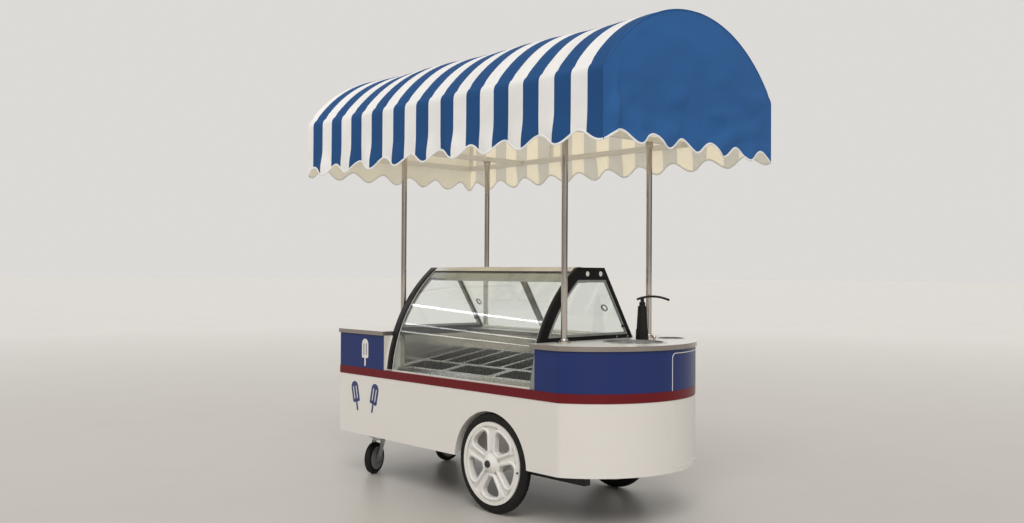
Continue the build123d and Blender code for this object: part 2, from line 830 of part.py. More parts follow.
for side, sign in wheel_sides:
    with BuildPart() as tyre:
        with BuildSketch(Plane.YZ.offset(wheel_x)):
            with BuildLine():
                Polyline(*tyre_section(sign), close=True)
            make_face()
        revolve(axis=Axis((wheel_x, 0, wheel_radius), (0, 1, 0)))
    save(tyre, f"tyre_{side}")

    with BuildPart() as rim:
        with BuildSketch(wheel_plane(sign, rim_face)):
            Circle(rim_radius - seat_gap)
            Circle(rim_radius - rim_lip, mode=Mode.SUBTRACT)
        extrude(amount=-rim_width)
        with BuildSketch(wheel_plane(sign, rim_face - spoke_inset)):
            Circle(rim_radius - rim_lip / 2)
            Circle(spoke_tip_radius, mode=Mode.SUBTRACT)
            Circle(spoke_root_radius)
            with PolarLocations(spoke_middle, spoke_count, start_angle=90):
                Polygon(*spoke_outline(0), align=None)
        extrude(amount=-spoke_thickness)
        with BuildSketch(wheel_plane(sign, rim_face - spoke_inset)):
            with PolarLocations(spoke_middle, spoke_count, start_angle=90):
                Polygon(*spoke_outline(0), align=None)
            with PolarLocations(spoke_middle, spoke_count, start_angle=90):
                Polygon(*spoke_outline(spoke_rib_width), align=None, mode=Mode.SUBTRACT)
        extrude(amount=spoke_rib_height)
        with BuildSketch(wheel_plane(sign, rim_face)):
            Circle(hub_radius)
        extrude(amount=-hub_length)
        with BuildSketch(wheel_plane(sign, rim_face)):
            Circle(hub_radius)
        with BuildSketch(wheel_plane(sign, nose_face)):
            Circle(hub_nose_radius)
        loft()
        with BuildSketch(wheel_plane(sign, nose_face)):
            Circle(axle_radius + running_fit)
        extrude(amount=-hub_length - hub_nose_length, mode=Mode.SUBTRACT)
    save(rim, f"rim_{side}")

    with BuildPart() as cap:
        with BuildSketch(wheel_plane(sign, nose_face)):
            Circle(cap_radius)
        extrude(amount=cap_length)
        outer_face = cap.faces().sort_by(Axis.Y)[0 if sign < 0 else -1]
        chamfer(outer_face.edges(), cap_edge)
    save(cap, f"hub_cap_{side}")

# Casters
# Side, direction across the cart, heading of the trailing wheel
caster_sides = (("front", -1, -65), ("rear", 1, -90))
fork_inner = caster_wheel_width / 2 + caster_side_gap

with BuildPart() as caster_plates:
    for side, sign, heading in caster_sides:
        with BuildSketch(Plane((caster_x, sign * caster_y, caster_z), z_dir=(0, 0, -1))):
            Rectangle(caster_plate_length, caster_plate_width)
        extrude(amount=caster_plate_sheet)
        with BuildSketch(Plane((caster_x, sign * caster_y, caster_z), z_dir=(0, 0, -1))):
            Circle(caster_pin_radius)
        extrude(amount=caster_plate_sheet + caster_crown_height)
save(caster_plates, "caster_plates")

for side, sign, heading in caster_sides:
    trail = Vector(cos(radians(heading)), sin(radians(heading)), 0)
    across = Vector(sin(radians(heading)), -cos(radians(heading)), 0)
    pivot = Vector(caster_x, sign * caster_y, 0)
    axle = pivot + trail * caster_trail + Vector(0, 0, caster_wheel_radius)

    with BuildPart() as fork:
        with BuildSketch(Plane(pivot + Vector(0, 0, fork_top), x_dir=trail, z_dir=(0, 0, -1))):
            Circle(caster_crown_radius)
        extrude(amount=caster_crown_height)
        for hand in (-1, 1):
            leg_plane = Plane(pivot + across * (hand * fork_inner), x_dir=trail, z_dir=across * hand)
            leg_up = 1 if leg_plane.y_dir.Z > 0 else -1
            with BuildSketch(leg_plane):
                with BuildLine():
                    Polyline(
                        (-fork_root_half, leg_up * fork_top),
                        (fork_root_half, leg_up * fork_top),
                        (caster_trail + fork_toe, leg_up * (caster_wheel_radius + fork_toe_rise)),
                        (caster_trail + fork_toe, leg_up * (caster_wheel_radius - fork_toe)),
                        (caster_trail - fork_toe, leg_up * (caster_wheel_radius - fork_toe)),
                        close=True,
                    )
                make_face()
            extrude(amount=caster_fork_sheet)
        with BuildSketch(Plane(axle - across * (fork_inner + caster_fork_sheet), x_dir=trail, z_dir=across)):
            Circle(caster_axle_radius)
        extrude(amount=2 * (fork_inner + caster_fork_sheet))
        with BuildSketch(Plane(pivot + Vector(0, 0, fork_top), z_dir=(0, 0, -1))):
            Circle(caster_pin_radius + running_fit)
        extrude(amount=caster_crown_height, mode=Mode.SUBTRACT)
    save(fork, f"caster_fork_{side}")

    hub_plane = Plane(axle - across * (caster_wheel_width / 2), x_dir=trail, z_dir=across)
    caster_rim = caster_wheel_radius - caster_tyre_depth
    with BuildPart() as caster_tyre:
        with BuildSketch(hub_plane):
            Circle(caster_wheel_radius)
            Circle(caster_rim, mode=Mode.SUBTRACT)
        extrude(amount=caster_wheel_width)
        crown = caster_tyre.edges().filter_by(GeomType.CIRCLE).group_by(SortBy.RADIUS)[-1]
        chamfer(crown, caster_shoulder_drop)
    save(caster_tyre, f"caster_tyre_{side}")

    with BuildPart() as caster_hub:
        with BuildSketch(hub_plane):
            Circle(caster_rim - seat_gap)
            Circle(caster_axle_radius + running_fit, mode=Mode.SUBTRACT)
        extrude(amount=caster_wheel_width)
    save(caster_hub, f"caster_hub_{side}")

# End door with two butt hinges at its far edge
hinge_angle = door_end_angle + degrees(door_gap / 2 / bow_radius)
hinge_reach = bow_radius + hinge_knuckle_radius
hinge_point = Vector(bow_centre, 0, 0) + Vector(hinge_reach, 0, 0).rotate(Axis.Z, hinge_angle)
with BuildPart() as end_door:
    with BuildSketch(Plane.XY.offset(door_z)):
        add(bow_sector(bow_radius - wall, bow_radius, door_start_angle, door_end_angle))
    extrude(amount=door_top_z - door_z)
    for z in hinge_z:
        with BuildSketch(Plane.XY.offset(z)):
            leaf_start = door_end_angle - hinge_leaf_angle
            add(bow_sector(bow_radius - hinge_let_in, bow_radius + hinge_leaf_sheet, leaf_start, hinge_angle))
            with Locations((hinge_point.X, hinge_point.Y)):
                Circle(hinge_knuckle_radius)
        extrude(amount=hinge_knuckle_length)
        with BuildSketch(Plane.XY.offset(z)):
            with Locations((hinge_point.X, hinge_point.Y)):
                Circle(hinge_pin_radius + running_fit)
        extrude(amount=hinge_knuckle_length, mode=Mode.SUBTRACT)
save(end_door, "end_door")

with BuildPart() as door_hinges:
    for z in hinge_z:
        for low in (z - hinge_knuckle_length - seat_gap, z + hinge_knuckle_length + seat_gap):
            with BuildSketch(Plane.XY.offset(low)):
                leaf_end = hinge_angle + hinge_leaf_angle
                leaf_foot = bow_radius + seat_gap / 3
                add(bow_sector(leaf_foot, bow_radius + hinge_leaf_sheet, hinge_angle, leaf_end))
                with Locations((hinge_point.X, hinge_point.Y)):
                    Circle(hinge_knuckle_radius - seat_gap)
            extrude(amount=hinge_knuckle_length)
        with BuildSketch(Plane.XY.offset(z - hinge_knuckle_length)):
            with Locations((hinge_point.X, hinge_point.Y)):
                Circle(hinge_pin_radius)
        extrude(amount=3 * hinge_knuckle_length)
save(door_hinges, "door_hinges")

# Canopy: posts, eave frame, bows and the scalloped cover
for side, sign_x in (("left", -1), ("right", 1)):
    for face, sign_y in (("front", -1), ("rear", 1)):
        with BuildPart() as post:
            with BuildSketch(Plane((sign_x * post_x, sign_y * post_y, counter_z))):
                Circle(post_flange_radius)
            extrude(amount=post_flange_height)
            with BuildSketch(Plane((sign_x * post_x, sign_y * post_y, counter_z))):
                Circle(post_radius)
            extrude(amount=ring_z - counter_z)
        save(post, f"post_{side}_{face}")

frame_length = canopy_length - 2 * (canopy_cloth + seat_gap)
frame_depth = canopy_width - 2 * (canopy_cloth + seat_gap)
with BuildPart() as canopy_frame:
    with BuildSketch(Plane.XY.offset(ring_z)):
        Rectangle(frame_length, frame_depth)
        Rectangle(frame_length - 2 * canopy_bar, frame_depth - 2 * canopy_bar, mode=Mode.SUBTRACT)
        with Locations((-post_x, 0), (post_x, 0)):
            Rectangle(canopy_bar, frame_depth)
    extrude(amount=canopy_bar)
save(canopy_frame, "canopy_frame")


def arch_face(inset):
    """The canopy's arch above the eave, set in from its outer skin."""
    radius = canopy_radius - inset
    half = sqrt(radius**2 - (canopy_eave_z - canopy_centre_z) ** 2)
    with BuildSketch() as arch:
        with BuildLine():
            ThreePointArc((-half, canopy_eave_z), (0, canopy_centre_z + radius), (half, canopy_eave_z))
            Line((half, canopy_eave_z), (-half, canopy_eave_z))
        make_face()
    return arch.sketch


bow_pitch = (canopy_length - 2 * bow_inset) / (bow_count - 1)
with BuildPart() as canopy_bows:
    for k in range(bow_count):
        bow_x = -canopy_half_length + bow_inset + k * bow_pitch
        with BuildSketch(Plane.YZ.offset(bow_x - bow_bar / 2)):
            add(arch_face(canopy_cloth + seat_gap))
            add(arch_face(canopy_cloth + seat_gap + bow_bar), mode=Mode.SUBTRACT)
            for sign in (-1, 1):
                leg_y = frame_depth / 2 - bow_bar / 2
                with Locations((sign * leg_y, ring_z + canopy_bar)):
                    Rectangle(bow_bar, canopy_eave_z - ring_z - canopy_bar, align=(Align.CENTER, Align.MIN))
        extrude(amount=bow_bar)
save(canopy_bows, "canopy_bows")


def lobe_z(place, length):
    """Height of a scallop's edge at a place along a lobe between two notches."""
    radius = (length**2 / 4 + lobe_drop**2) / (2 * lobe_drop)
    return notch_z - sqrt(radius**2 - (place - length / 2) ** 2) + radius - lobe_drop


def skirt_face(width, count, first, last, lobe_before, lobe_after):
    """One side's skirt, with whole lobes between notches and part lobes that run on round the corners."""
    left = -width / 2
    pitch = (width - first - last) / (count - 1)
    notches = [left + first + k * pitch for k in range(count)]
    with BuildSketch() as skirt:
        with BuildLine():
            start = (left, lobe_z(lobe_before - first, lobe_before))
            end = (-left, lobe_z(last, lobe_after))
            before = (left + first / 2, lobe_z(lobe_before - first / 2, lobe_before))
            after = (-left - last / 2, lobe_z(last / 2, lobe_after))
            ThreePointArc(start, before, (notches[0], notch_z))
            for here, there in zip(notches, notches[1:]):
                ThreePointArc((here, notch_z), ((here + there) / 2, notch_z - lobe_drop), (there, notch_z))
            ThreePointArc((notches[-1], notch_z), after, end)
            Polyline(end, (-left, canopy_eave_z), (left, canopy_eave_z), start)
        make_face()
        notch_corners = [corner for corner in skirt.vertices() if abs(corner.Y - notch_z) < seat_gap]
        fillet(notch_corners, notch_radius)
    return skirt.sketch


# Length of the lobe that wraps each corner
lobe_front_left = front_first + end_first
lobe_front_right = front_last + end_first
lobe_rear_left = front_first + end_last
lobe_rear_right = front_last + end_last
with BuildPart() as canopy_cover:
    with BuildSketch(Plane.YZ.offset(-canopy_half_length)):
        add(arch_face(0))
        add(arch_face(canopy_cloth), mode=Mode.SUBTRACT)
    extrude(amount=canopy_length)
    long_sides = (
        (canopy_half_width, -canopy_cloth, lobe_front_left, lobe_front_right),
        (-canopy_half_width, canopy_cloth, lobe_rear_left, lobe_rear_right),
    )
    for offset_y, thickness, lobe_left, lobe_right in long_sides:
        with BuildSketch(Plane.XZ.offset(offset_y)):
            add(skirt_face(canopy_length, front_notches, front_first, front_last, lobe_left, lobe_right))
        extrude(amount=thickness)
    ends = (
        (canopy_half_length, -canopy_cloth, lobe_front_right, lobe_rear_right),
        (-canopy_half_length, canopy_cloth, lobe_front_left, lobe_rear_left),
    )
    for offset_x, thickness, lobe_front, lobe_rear in ends:
        with BuildSketch(Plane.YZ.offset(offset_x)):
            add(skirt_face(canopy_width, end_notches, end_first, end_last, lobe_front, lobe_rear))
            add(arch_face(0))
        extrude(amount=thickness)
save(canopy_cover, "canopy_cover")
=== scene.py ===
import bmesh
import bpy
import json
from bisect import bisect
from math import asin, atan2, cos, exp, pi, radians, sin, sqrt
from mathutils import Matrix, Vector, noise as ripple


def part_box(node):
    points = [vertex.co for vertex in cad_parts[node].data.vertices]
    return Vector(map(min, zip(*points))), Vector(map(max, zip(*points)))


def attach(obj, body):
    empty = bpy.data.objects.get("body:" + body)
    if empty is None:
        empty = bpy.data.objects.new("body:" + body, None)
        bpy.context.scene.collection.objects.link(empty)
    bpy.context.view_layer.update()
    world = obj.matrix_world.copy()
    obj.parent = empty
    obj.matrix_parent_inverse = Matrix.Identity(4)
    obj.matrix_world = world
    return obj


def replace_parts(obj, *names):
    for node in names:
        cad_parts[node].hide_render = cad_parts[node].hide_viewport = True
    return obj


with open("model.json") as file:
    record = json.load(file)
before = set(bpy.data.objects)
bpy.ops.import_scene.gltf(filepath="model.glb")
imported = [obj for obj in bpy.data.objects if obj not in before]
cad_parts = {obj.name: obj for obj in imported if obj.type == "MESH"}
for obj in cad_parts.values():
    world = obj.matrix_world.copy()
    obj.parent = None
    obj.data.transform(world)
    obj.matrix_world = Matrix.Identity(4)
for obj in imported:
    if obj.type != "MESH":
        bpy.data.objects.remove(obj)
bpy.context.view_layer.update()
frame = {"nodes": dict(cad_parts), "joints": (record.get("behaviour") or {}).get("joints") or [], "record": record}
nodes = frame["nodes"]
scene = bpy.context.scene
joints = {joint["name"]: joint for joint in frame["joints"]}


# Sizes from the frame, in metres: +X to the bowed end, -Y to the customers, +Z up
def low_corner(name):
    """The lowest corner of a node's box."""
    return Vector(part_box(name)[0])


def high_corner(name):
    """The highest corner of a node's box."""
    return Vector(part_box(name)[1])


def middle(name):
    """The middle of a node's box."""
    return (low_corner(name) + high_corner(name)) / 2


CLEARANCE = 0.0003
HALF_WIDTH = -low_corner("front_panel").y
BOW_SAG = 0.292
BOW_RADIUS = (HALF_WIDTH**2 + BOW_SAG**2) / (2 * BOW_SAG)
BOW_CENTRE = high_corner("bow_panel").x - BOW_RADIUS
STRIPE_Z = low_corner("stripe_band").z
LEDGE_Z = high_corner("stripe_band").z
BAND_PROUD = 0.002
SLAB_Z = low_corner("right_counter").z
COUNTER_Z = high_corner("right_counter").z
CABINET_X = low_corner("right_cabinet").x
# Inner faces of the display's two end plates
PLATE_X = low_corner("display_end_right").x
PLATE_LEFT_X = high_corner("display_end_left").x
PLATE_SHEET = high_corner("display_end_right").x - PLATE_X
WHEEL_X, TYRE_MIDDLE_Y, WHEEL_RADIUS = joints["wheel_rear_spin"]["pos_m"]
TYRE_FACE_Y = high_corner("tyre_rear").y
RIM_PROUD = 0.004
RIM_FACE_Y = TYRE_FACE_Y + RIM_PROUD
FORK_TOP_Z = high_corner("caster_fork_front").z
POST_X, POST_Y, _ = middle("post_right_rear")
CANOPY_X, CANOPY_Y, RIDGE_Z = high_corner("canopy_cover")
LOBE_FOOT_Z = low_corner("canopy_cover").z
RING_Z = low_corner("canopy_frame").z
UP = Vector((0, 0, 1))


# Materials
looks = {}


def feed(tree, socket, value):
    """Gives a socket a value, or links another node's socket to it."""
    if isinstance(value, bpy.types.NodeSocket):
        tree.links.new(value, socket)
    elif socket.type == "RGBA":
        socket.default_value = (*value, 1)
    else:
        socket.default_value = value


def node(tree, kind, **settings):
    """A shader node of a kind. Settings that name a socket feed it, the others set a property."""
    made = tree.nodes.new("ShaderNode" + kind)
    for key, value in settings.items():
        if key in made.inputs:
            feed(tree, made.inputs[key], value)
        else:
            setattr(made, key, value)
    return made


def new_look(name):
    """Starts a look: its empty node tree and its output's socket."""
    looks[name] = bpy.data.materials.new(name)
    looks[name].use_nodes = True
    tree = looks[name].node_tree
    tree.nodes.clear()
    return tree, node(tree, "OutputMaterial").inputs["Surface"]


def noise(tree, stretch, scale, detail=3.0):
    """Noise in the object's own space, stretched along its axes."""
    spot = node(tree, "TexCoord").outputs["Object"]
    stretched = node(tree, "Mapping", Scale=stretch, Vector=spot).outputs["Vector"]
    return node(tree, "TexNoise", Scale=scale, Detail=detail, Vector=stretched).outputs["Fac"]


def spread(tree, source, low, high, from_low=0.3, from_high=0.7):
    """A value spread from one range over another."""
    ends = {"From Min": from_low, "From Max": from_high, "To Min": low, "To Max": high}
    return node(tree, "MapRange", Value=source, **ends).outputs["Result"]


def mix(tree, factor, first, second):
    """A colour between two, by a value. Each is a socket or a constant."""
    made = node(tree, "Mix", data_type="RGBA")
    for k, value in ((0, factor), (6, first), (7, second)):
        feed(tree, made.inputs[k], value)
    return made.outputs[2]


def blend(tree, factor, first, second):
    """A shader between two, by a value."""
    made = node(tree, "MixShader")
    for socket, value in zip(made.inputs, (factor, first.outputs[0], second.outputs[0])):
        feed(tree, socket, value)
    return made


def maths(tree, what, *values):
    """One step of arithmetic on values, each a socket or a number."""
    made = node(tree, "Math", operation=what)
    for socket, value in zip(made.inputs, values):
        feed(tree, socket, value)
    return made.outputs[0]


def coordinate(tree, axis):
    """One coordinate of the object's own space."""
    spot = node(tree, "TexCoord").outputs["Object"]
    return node(tree, "SeparateXYZ", Vector=spot).outputs[axis]


def shade(colour, amount):
    """A colour made lighter or darker."""
    return tuple(min(1.0, max(0.0, c * amount)) for c in colour)


def surface(name, colour, rough, metal=0.0, vary=0.08, stretch=(1, 1, 1), scale=6.0, grain=300.0, bump=0.05,
            rough_vary=0.06, coat=0.0, spec=0.5):
    """A finish with mottled colour, uneven gloss and a fine grain. A colour may be a function of place."""
    tree, out = new_look(name)
    tone = noise(tree, stretch, scale)
    if callable(colour):
        base = mix(tree, spread(tree, tone, 0.0, vary), colour(tree), (0, 0, 0))
    else:
        base = mix(tree, spread(tree, tone, 0.0, 1.0), shade(colour, 1 - vary), shade(colour, 1 + vary))
    gloss = spread(tree, noise(tree, stretch, scale * 5), rough - rough_vary, rough + rough_vary)
    bsdf = node(tree, "BsdfPrincipled", Metallic=metal, Roughness=gloss, **{
        "Base Color": base, "Coat Weight": coat, "Coat Roughness": 0.12, "Specular IOR Level": spec})
    if bump:
        fine = noise(tree, stretch, grain, detail=2.0)
        height = node(tree, "Bump", Strength=bump, Distance=0.001, Height=fine)
        feed(tree, bsdf.inputs["Normal"], height.outputs["Normal"])
    feed(tree, out, bsdf.outputs[0])


WHITE = (0.79, 0.765, 0.725)
RED = (0.150, 0.008, 0.012)
BLUE = (0.017, 0.034, 0.150)
CLOTH_BLUE = (0.014, 0.080, 0.240)
# The ends' blue is the stripes' blue painted lighter: painted light on the end that faces the daylight.
LIT_END_BLUE = (0.028, 0.128, 0.362)
CLOTH_WHITE = (0.93, 0.925, 0.92)
SHEET_STEEL = (0.80, 0.785, 0.76)
# The sloping pan rack: its lean, and its front edge
RACK_LEAN = radians(9)
RACK_Y = -0.415
RACK_Z = 0.683


def door_bands(tree):
    """The body's three bands of colour by height."""
    height = coordinate(tree, 2)
    lower = mix(tree, maths(tree, "GREATER_THAN", height, STRIPE_Z), WHITE, RED)
    return mix(tree, maths(tree, "GREATER_THAN", height, LEDGE_Z), lower, BLUE)


def cabinet_faces(tree):
    """The cabinets' blue, with white on the sides that face the display."""
    reach = maths(tree, "ABSOLUTE", coordinate(tree, 0))
    return mix(tree, maths(tree, "LESS_THAN", reach, CABINET_X + CLEARANCE), BLUE, WHITE)


def pan_painted_shading(tree):
    """Pans with a painted highlight on the rims and painted shade that deepens towards their floors, by the depth
    under the rack.
    """
    over = maths(tree, "MULTIPLY", maths(tree, "SUBTRACT", coordinate(tree, 2), RACK_Z), cos(RACK_LEAN))
    along = maths(tree, "MULTIPLY", maths(tree, "SUBTRACT", coordinate(tree, 1), RACK_Y), -sin(RACK_LEAN))
    height = maths(tree, "ADD", over, along)
    depth = spread(tree, height, 0.0, 1.0, -0.10, -0.004)
    # painted shade: darker the deeper under the rack; painted highlight: the rims above it
    deep = mix(tree, depth, (0.078, 0.073, 0.061), (0.215, 0.203, 0.172))
    return mix(tree, maths(tree, "GREATER_THAN", height, -0.0015), deep, (0.70, 0.69, 0.66))


def glass(name, tint):
    """Clear glass that lets lamp light through, so that what is behind it stays lit."""
    tree, out = new_look(name)
    smear = spread(tree, noise(tree, (1, 1, 0.3), 5.0), 0.0, 0.035)
    pane = node(tree, "BsdfPrincipled", IOR=1.45, Roughness=smear, **{
        "Transmission Weight": 1.0, "Base Color": tint})
    clear = node(tree, "BsdfTransparent", Color=tint)
    path = node(tree, "LightPath").outputs
    dim = maths(tree, "MAXIMUM", path["Is Shadow Ray"], path["Is Diffuse Ray"])
    feed(tree, out, blend(tree, dim, pane, clear).outputs[0])


def counter_sheet(name):
    """Steel sheet, satin on top and nearly mirror smooth round its folded edge, where a dark brown colour is a
    painted reflection.
    """
    tree, out = new_look(name)
    normal = node(tree, "NewGeometry").outputs["Normal"]
    rise = node(tree, "SeparateXYZ", Vector=normal).outputs["Z"]
    level = maths(tree, "GREATER_THAN", rise, 0.7)
    brushed = noise(tree, (0.4, 30, 30), 9.0)
    top = mix(tree, spread(tree, brushed, 0.0, 1.0), SHEET_STEEL, (0.88, 0.865, 0.84))
    satin = maths(tree, "MULTIPLY", level, spread(tree, brushed, 0.24, 0.34))
    # the folded edge's dark brown base colour is a painted reflection; the top keeps the steel's colour
    bsdf = node(tree, "BsdfPrincipled", Metallic=0.55, Roughness=maths(tree, "ADD", satin, 0.05),
                **{"Base Color": mix(tree, level, (0.30, 0.265, 0.235), top)})
    feed(tree, out, bsdf.outputs[0])


STRIPE_PERIOD = 0.2071
STRIPE_START = -1.1591
STRIPE_SHARE = 0.515
THREAD_WAVES = 2600


def stripe_factor(tree):
    """1 on the canopy's blue stripes and 0 between them, along X."""
    run = maths(tree, "SUBTRACT", coordinate(tree, 0), STRIPE_START - 20 * STRIPE_PERIOD)
    part = maths(tree, "FRACT", maths(tree, "DIVIDE", run, STRIPE_PERIOD))
    return maths(tree, "LESS_THAN", part, STRIPE_SHARE)


def cloth(name, ground, stripe=None, painted_glow=0.0):
    """Coated awning cloth with soft blotches and a weave. Its emission is painted light that stands in for the
    daylight coming through the cloth.
    """
    tree, out = new_look(name)
    base = mix(tree, stripe_factor(tree), ground, stripe) if stripe else ground
    blotch = noise(tree, (1, 1, 1), 4.0, detail=5.0)
    tone = mix(tree, spread(tree, blotch, 0.0, 0.08), base, (0.01, 0.01, 0.012))
    threads = noise(tree, (1, 1, 1), 700.0, detail=1.0)
    pale = mix(tree, spread(tree, threads, 0.0, 0.016), tone, (0.9, 0.9, 0.9))
    across = [maths(tree, "MULTIPLY", coordinate(tree, axis), THREAD_WAVES) for axis in (0, 2)]
    weave = maths(tree, "MULTIPLY", *[maths(tree, "SINE", wave) for wave in across])
    crease = maths(tree, "MULTIPLY", noise(tree, (1, 1, 0.5), 9.0), 5.0)
    relief = maths(tree, "ADD", maths(tree, "MULTIPLY", weave, 0.12), crease)
    height = node(tree, "Bump", Strength=0.35, Distance=0.0015, Height=relief)
    bsdf = node(tree, "BsdfPrincipled", Normal=height.outputs["Normal"], **{
        "Base Color": pale, "Roughness": spread(tree, threads, 0.62, 0.82),
        "Specular IOR Level": 0.1, "Emission Strength": painted_glow})
    # painted light: the cloth's own colour shines out
    if painted_glow:
        feed(tree, bsdf.inputs["Emission Color"], pale)
    feed(tree, out, bsdf.outputs[0])


paint = dict(bump=0, rough_vary=0.02)
surface("body_white", WHITE, 0.34, vary=0.008, scale=1.2, grain=60, bump=0.006, rough_vary=0.03, coat=0.2)
surface("stripe_red", RED, 0.32, vary=0.03, scale=3, spec=0.22, **paint)
surface("cabinet_blue", BLUE, 0.30, vary=0.05, scale=2, spec=0.25, **paint)
surface("cabinet_paint", cabinet_faces, 0.30, vary=0.05, scale=2, spec=0.25, **paint)
surface("door_bands", door_bands, 0.32, vary=0.02, scale=3, spec=0.25, **paint)
surface("motif_blue", BLUE, 0.34, grain=90, bump=0.02, coat=0.2)
surface("counter_steel", SHEET_STEEL, 0.22, metal=1, vary=0.07, stretch=(0.4, 30, 30), scale=9, grain=90)
surface("bright_trim", (0.83, 0.815, 0.79), 0.20, metal=1, vary=0.06, stretch=(0.4, 20, 20), scale=9,
        grain=120, bump=0.03)
surface("header_steel", (0.43, 0.43, 0.385), 0.33, metal=0.7, vary=0.10, stretch=(0.3, 12, 12), scale=8,
        grain=150, bump=0.04)
surface("pan_steel", (0.60, 0.60, 0.59), 0.24, metal=1, vary=0.10, stretch=(1, 8, 8), scale=9, grain=90)
surface("pan_painted_light_shade", pan_painted_shading, 0.26, metal=0.9, vary=0.12, stretch=(1, 6, 6), scale=9, grain=90, bump=0.04)
surface("well_white", (0.60, 0.57, 0.51), 0.16, metal=0.85, vary=0.12, stretch=(1, 1, 5), scale=5,
        grain=200, bump=0.02)
surface("black_plate", (0.005, 0.005, 0.0055), 0.34, vary=0.20, scale=5, grain=500, spec=0.2)
surface("frame_black", (0.018, 0.018, 0.018), 0.50, vary=0.25, scale=7, grain=400, bump=0.12)
surface("cap_black", (0.014, 0.014, 0.015), 0.30, vary=0.2, scale=20, grain=400, coat=0.2)
surface("tyre_black", (0.011, 0.0105, 0.010), 0.66, vary=0.30, scale=14, grain=420, bump=0.15, spec=0.25)
surface("faucet_black", (0.007, 0.007, 0.0075), 0.36, vary=0.2, scale=16, grain=420, spec=0.3)
# painted shade for holes that look into the dark drain
surface("drain_painted_shade", (0.02, 0.02, 0.02), 0.5, vary=0.2, scale=30, bump=0.1)
surface("lamp_lens", (0.86, 0.85, 0.80), 0.45, vary=0.04, stretch=(0.2, 8, 8), scale=8, bump=0.04)
surface("rim_white", (0.80, 0.785, 0.75), 0.30, vary=0.03, scale=9, grain=150, bump=0.03, coat=0.3)
surface("zinc", (0.56, 0.56, 0.55), 0.34, metal=1, vary=0.16, scale=22, grain=260, bump=0.10)
surface("caster_grey", (0.24, 0.24, 0.245), 0.45, vary=0.10, scale=18, grain=380, bump=0.08)
surface("post_chrome", (0.50, 0.46, 0.42), 0.10, metal=1, vary=0.12, stretch=(6, 6, 0.5), scale=10,
        grain=120, bump=0.02, rough_vary=0.04)
surface("canopy_bar", (0.82, 0.80, 0.75), 0.40, metal=0.2, vary=0.05, stretch=(0.5, 8, 8), scale=10,
        grain=200, bump=0.04)
surface("stile_grey", (0.16, 0.16, 0.155), 0.36, metal=0.6, vary=0.12, stretch=(8, 1, 1), scale=12,
        grain=220)
surface("trim_grey", (0.33, 0.335, 0.32), 0.38, metal=0.5, vary=0.10, scale=14, grain=220)
surface("unit_grey", (0.20, 0.205, 0.21), 0.5, vary=0.12, scale=8, grain=260, bump=0.10)
glass("clear_glass", (0.955, 0.985, 0.972))
counter_sheet("counter_top")
cloth("canopy_cloth", CLOTH_WHITE, CLOTH_BLUE)
cloth("cloth_white", CLOTH_WHITE)
cloth("cloth_end", LIT_END_BLUE)
# Inner faces: painted light shines from them in place of daylight through the cloth, and their darker stripes are
# painted shade where the blue stripes hold that daylight back.
cloth("cloth_inside", (0.90, 0.83, 0.67), (0.62, 0.60, 0.54), painted_glow=0.37)
cloth("cloth_end_inside", (0.78, 0.74, 0.63), painted_glow=0.26)

# Nodes whose look is worked out more closely than their slot's
special = {
    "end_door": "door_bands", "left_cabinet": "cabinet_paint", "right_cabinet": "cabinet_paint",
    "front_pans": "pan_painted_light_shade", "rear_pans": "pan_painted_light_shade", "display_top": "header_steel",
    "left_counter": "counter_top", "right_counter": "counter_top", "rear_counter": "counter_top",
}
for part in frame["record"]["subparts"]:
    look = special.get(part["node"], part["material_slot"])
    target = nodes[part["node"]].data.materials
    for k in range(len(target)):
        target[k] = looks[look]


# Mesh building
def place(origin, z_dir, x_dir=None):
    """A frame at a point, with its z along one direction and its x near another."""
    z_axis = Vector(z_dir).normalized()
    hint = Vector(x_dir) if x_dir else Vector((1, 0, 0) if abs(z_axis.x) < 0.9 else (0, 1, 0))
    x_axis = (hint - z_axis * hint.dot(z_axis)).normalized()
    y_axis = z_axis.cross(x_axis)
    turn = Matrix((x_axis, y_axis, z_axis)).transposed().to_4x4()
    return Matrix.Translation(Vector(origin)) @ turn


def around(steps, radius=1.0):
    """Points evenly round a circle, as (x, y)."""
    angles = [2 * pi * k / steps for k in range(steps)]
    return [(radius * cos(a), radius * sin(a)) for a in angles]


def levels(low, high, steps):
    """Values from one to another in even steps."""
    return [low + (high - low) * k / steps for k in range(steps + 1)]


def mm(*points):
    """Points of a section that are given in millimetres."""
    return [(a / 1000, b / 1000) for a, b in points]


def add(name, data):
    """A new object in the scene."""
    made = bpy.data.objects.new(name, data)
    scene.collection.objects.link(made)
    return made


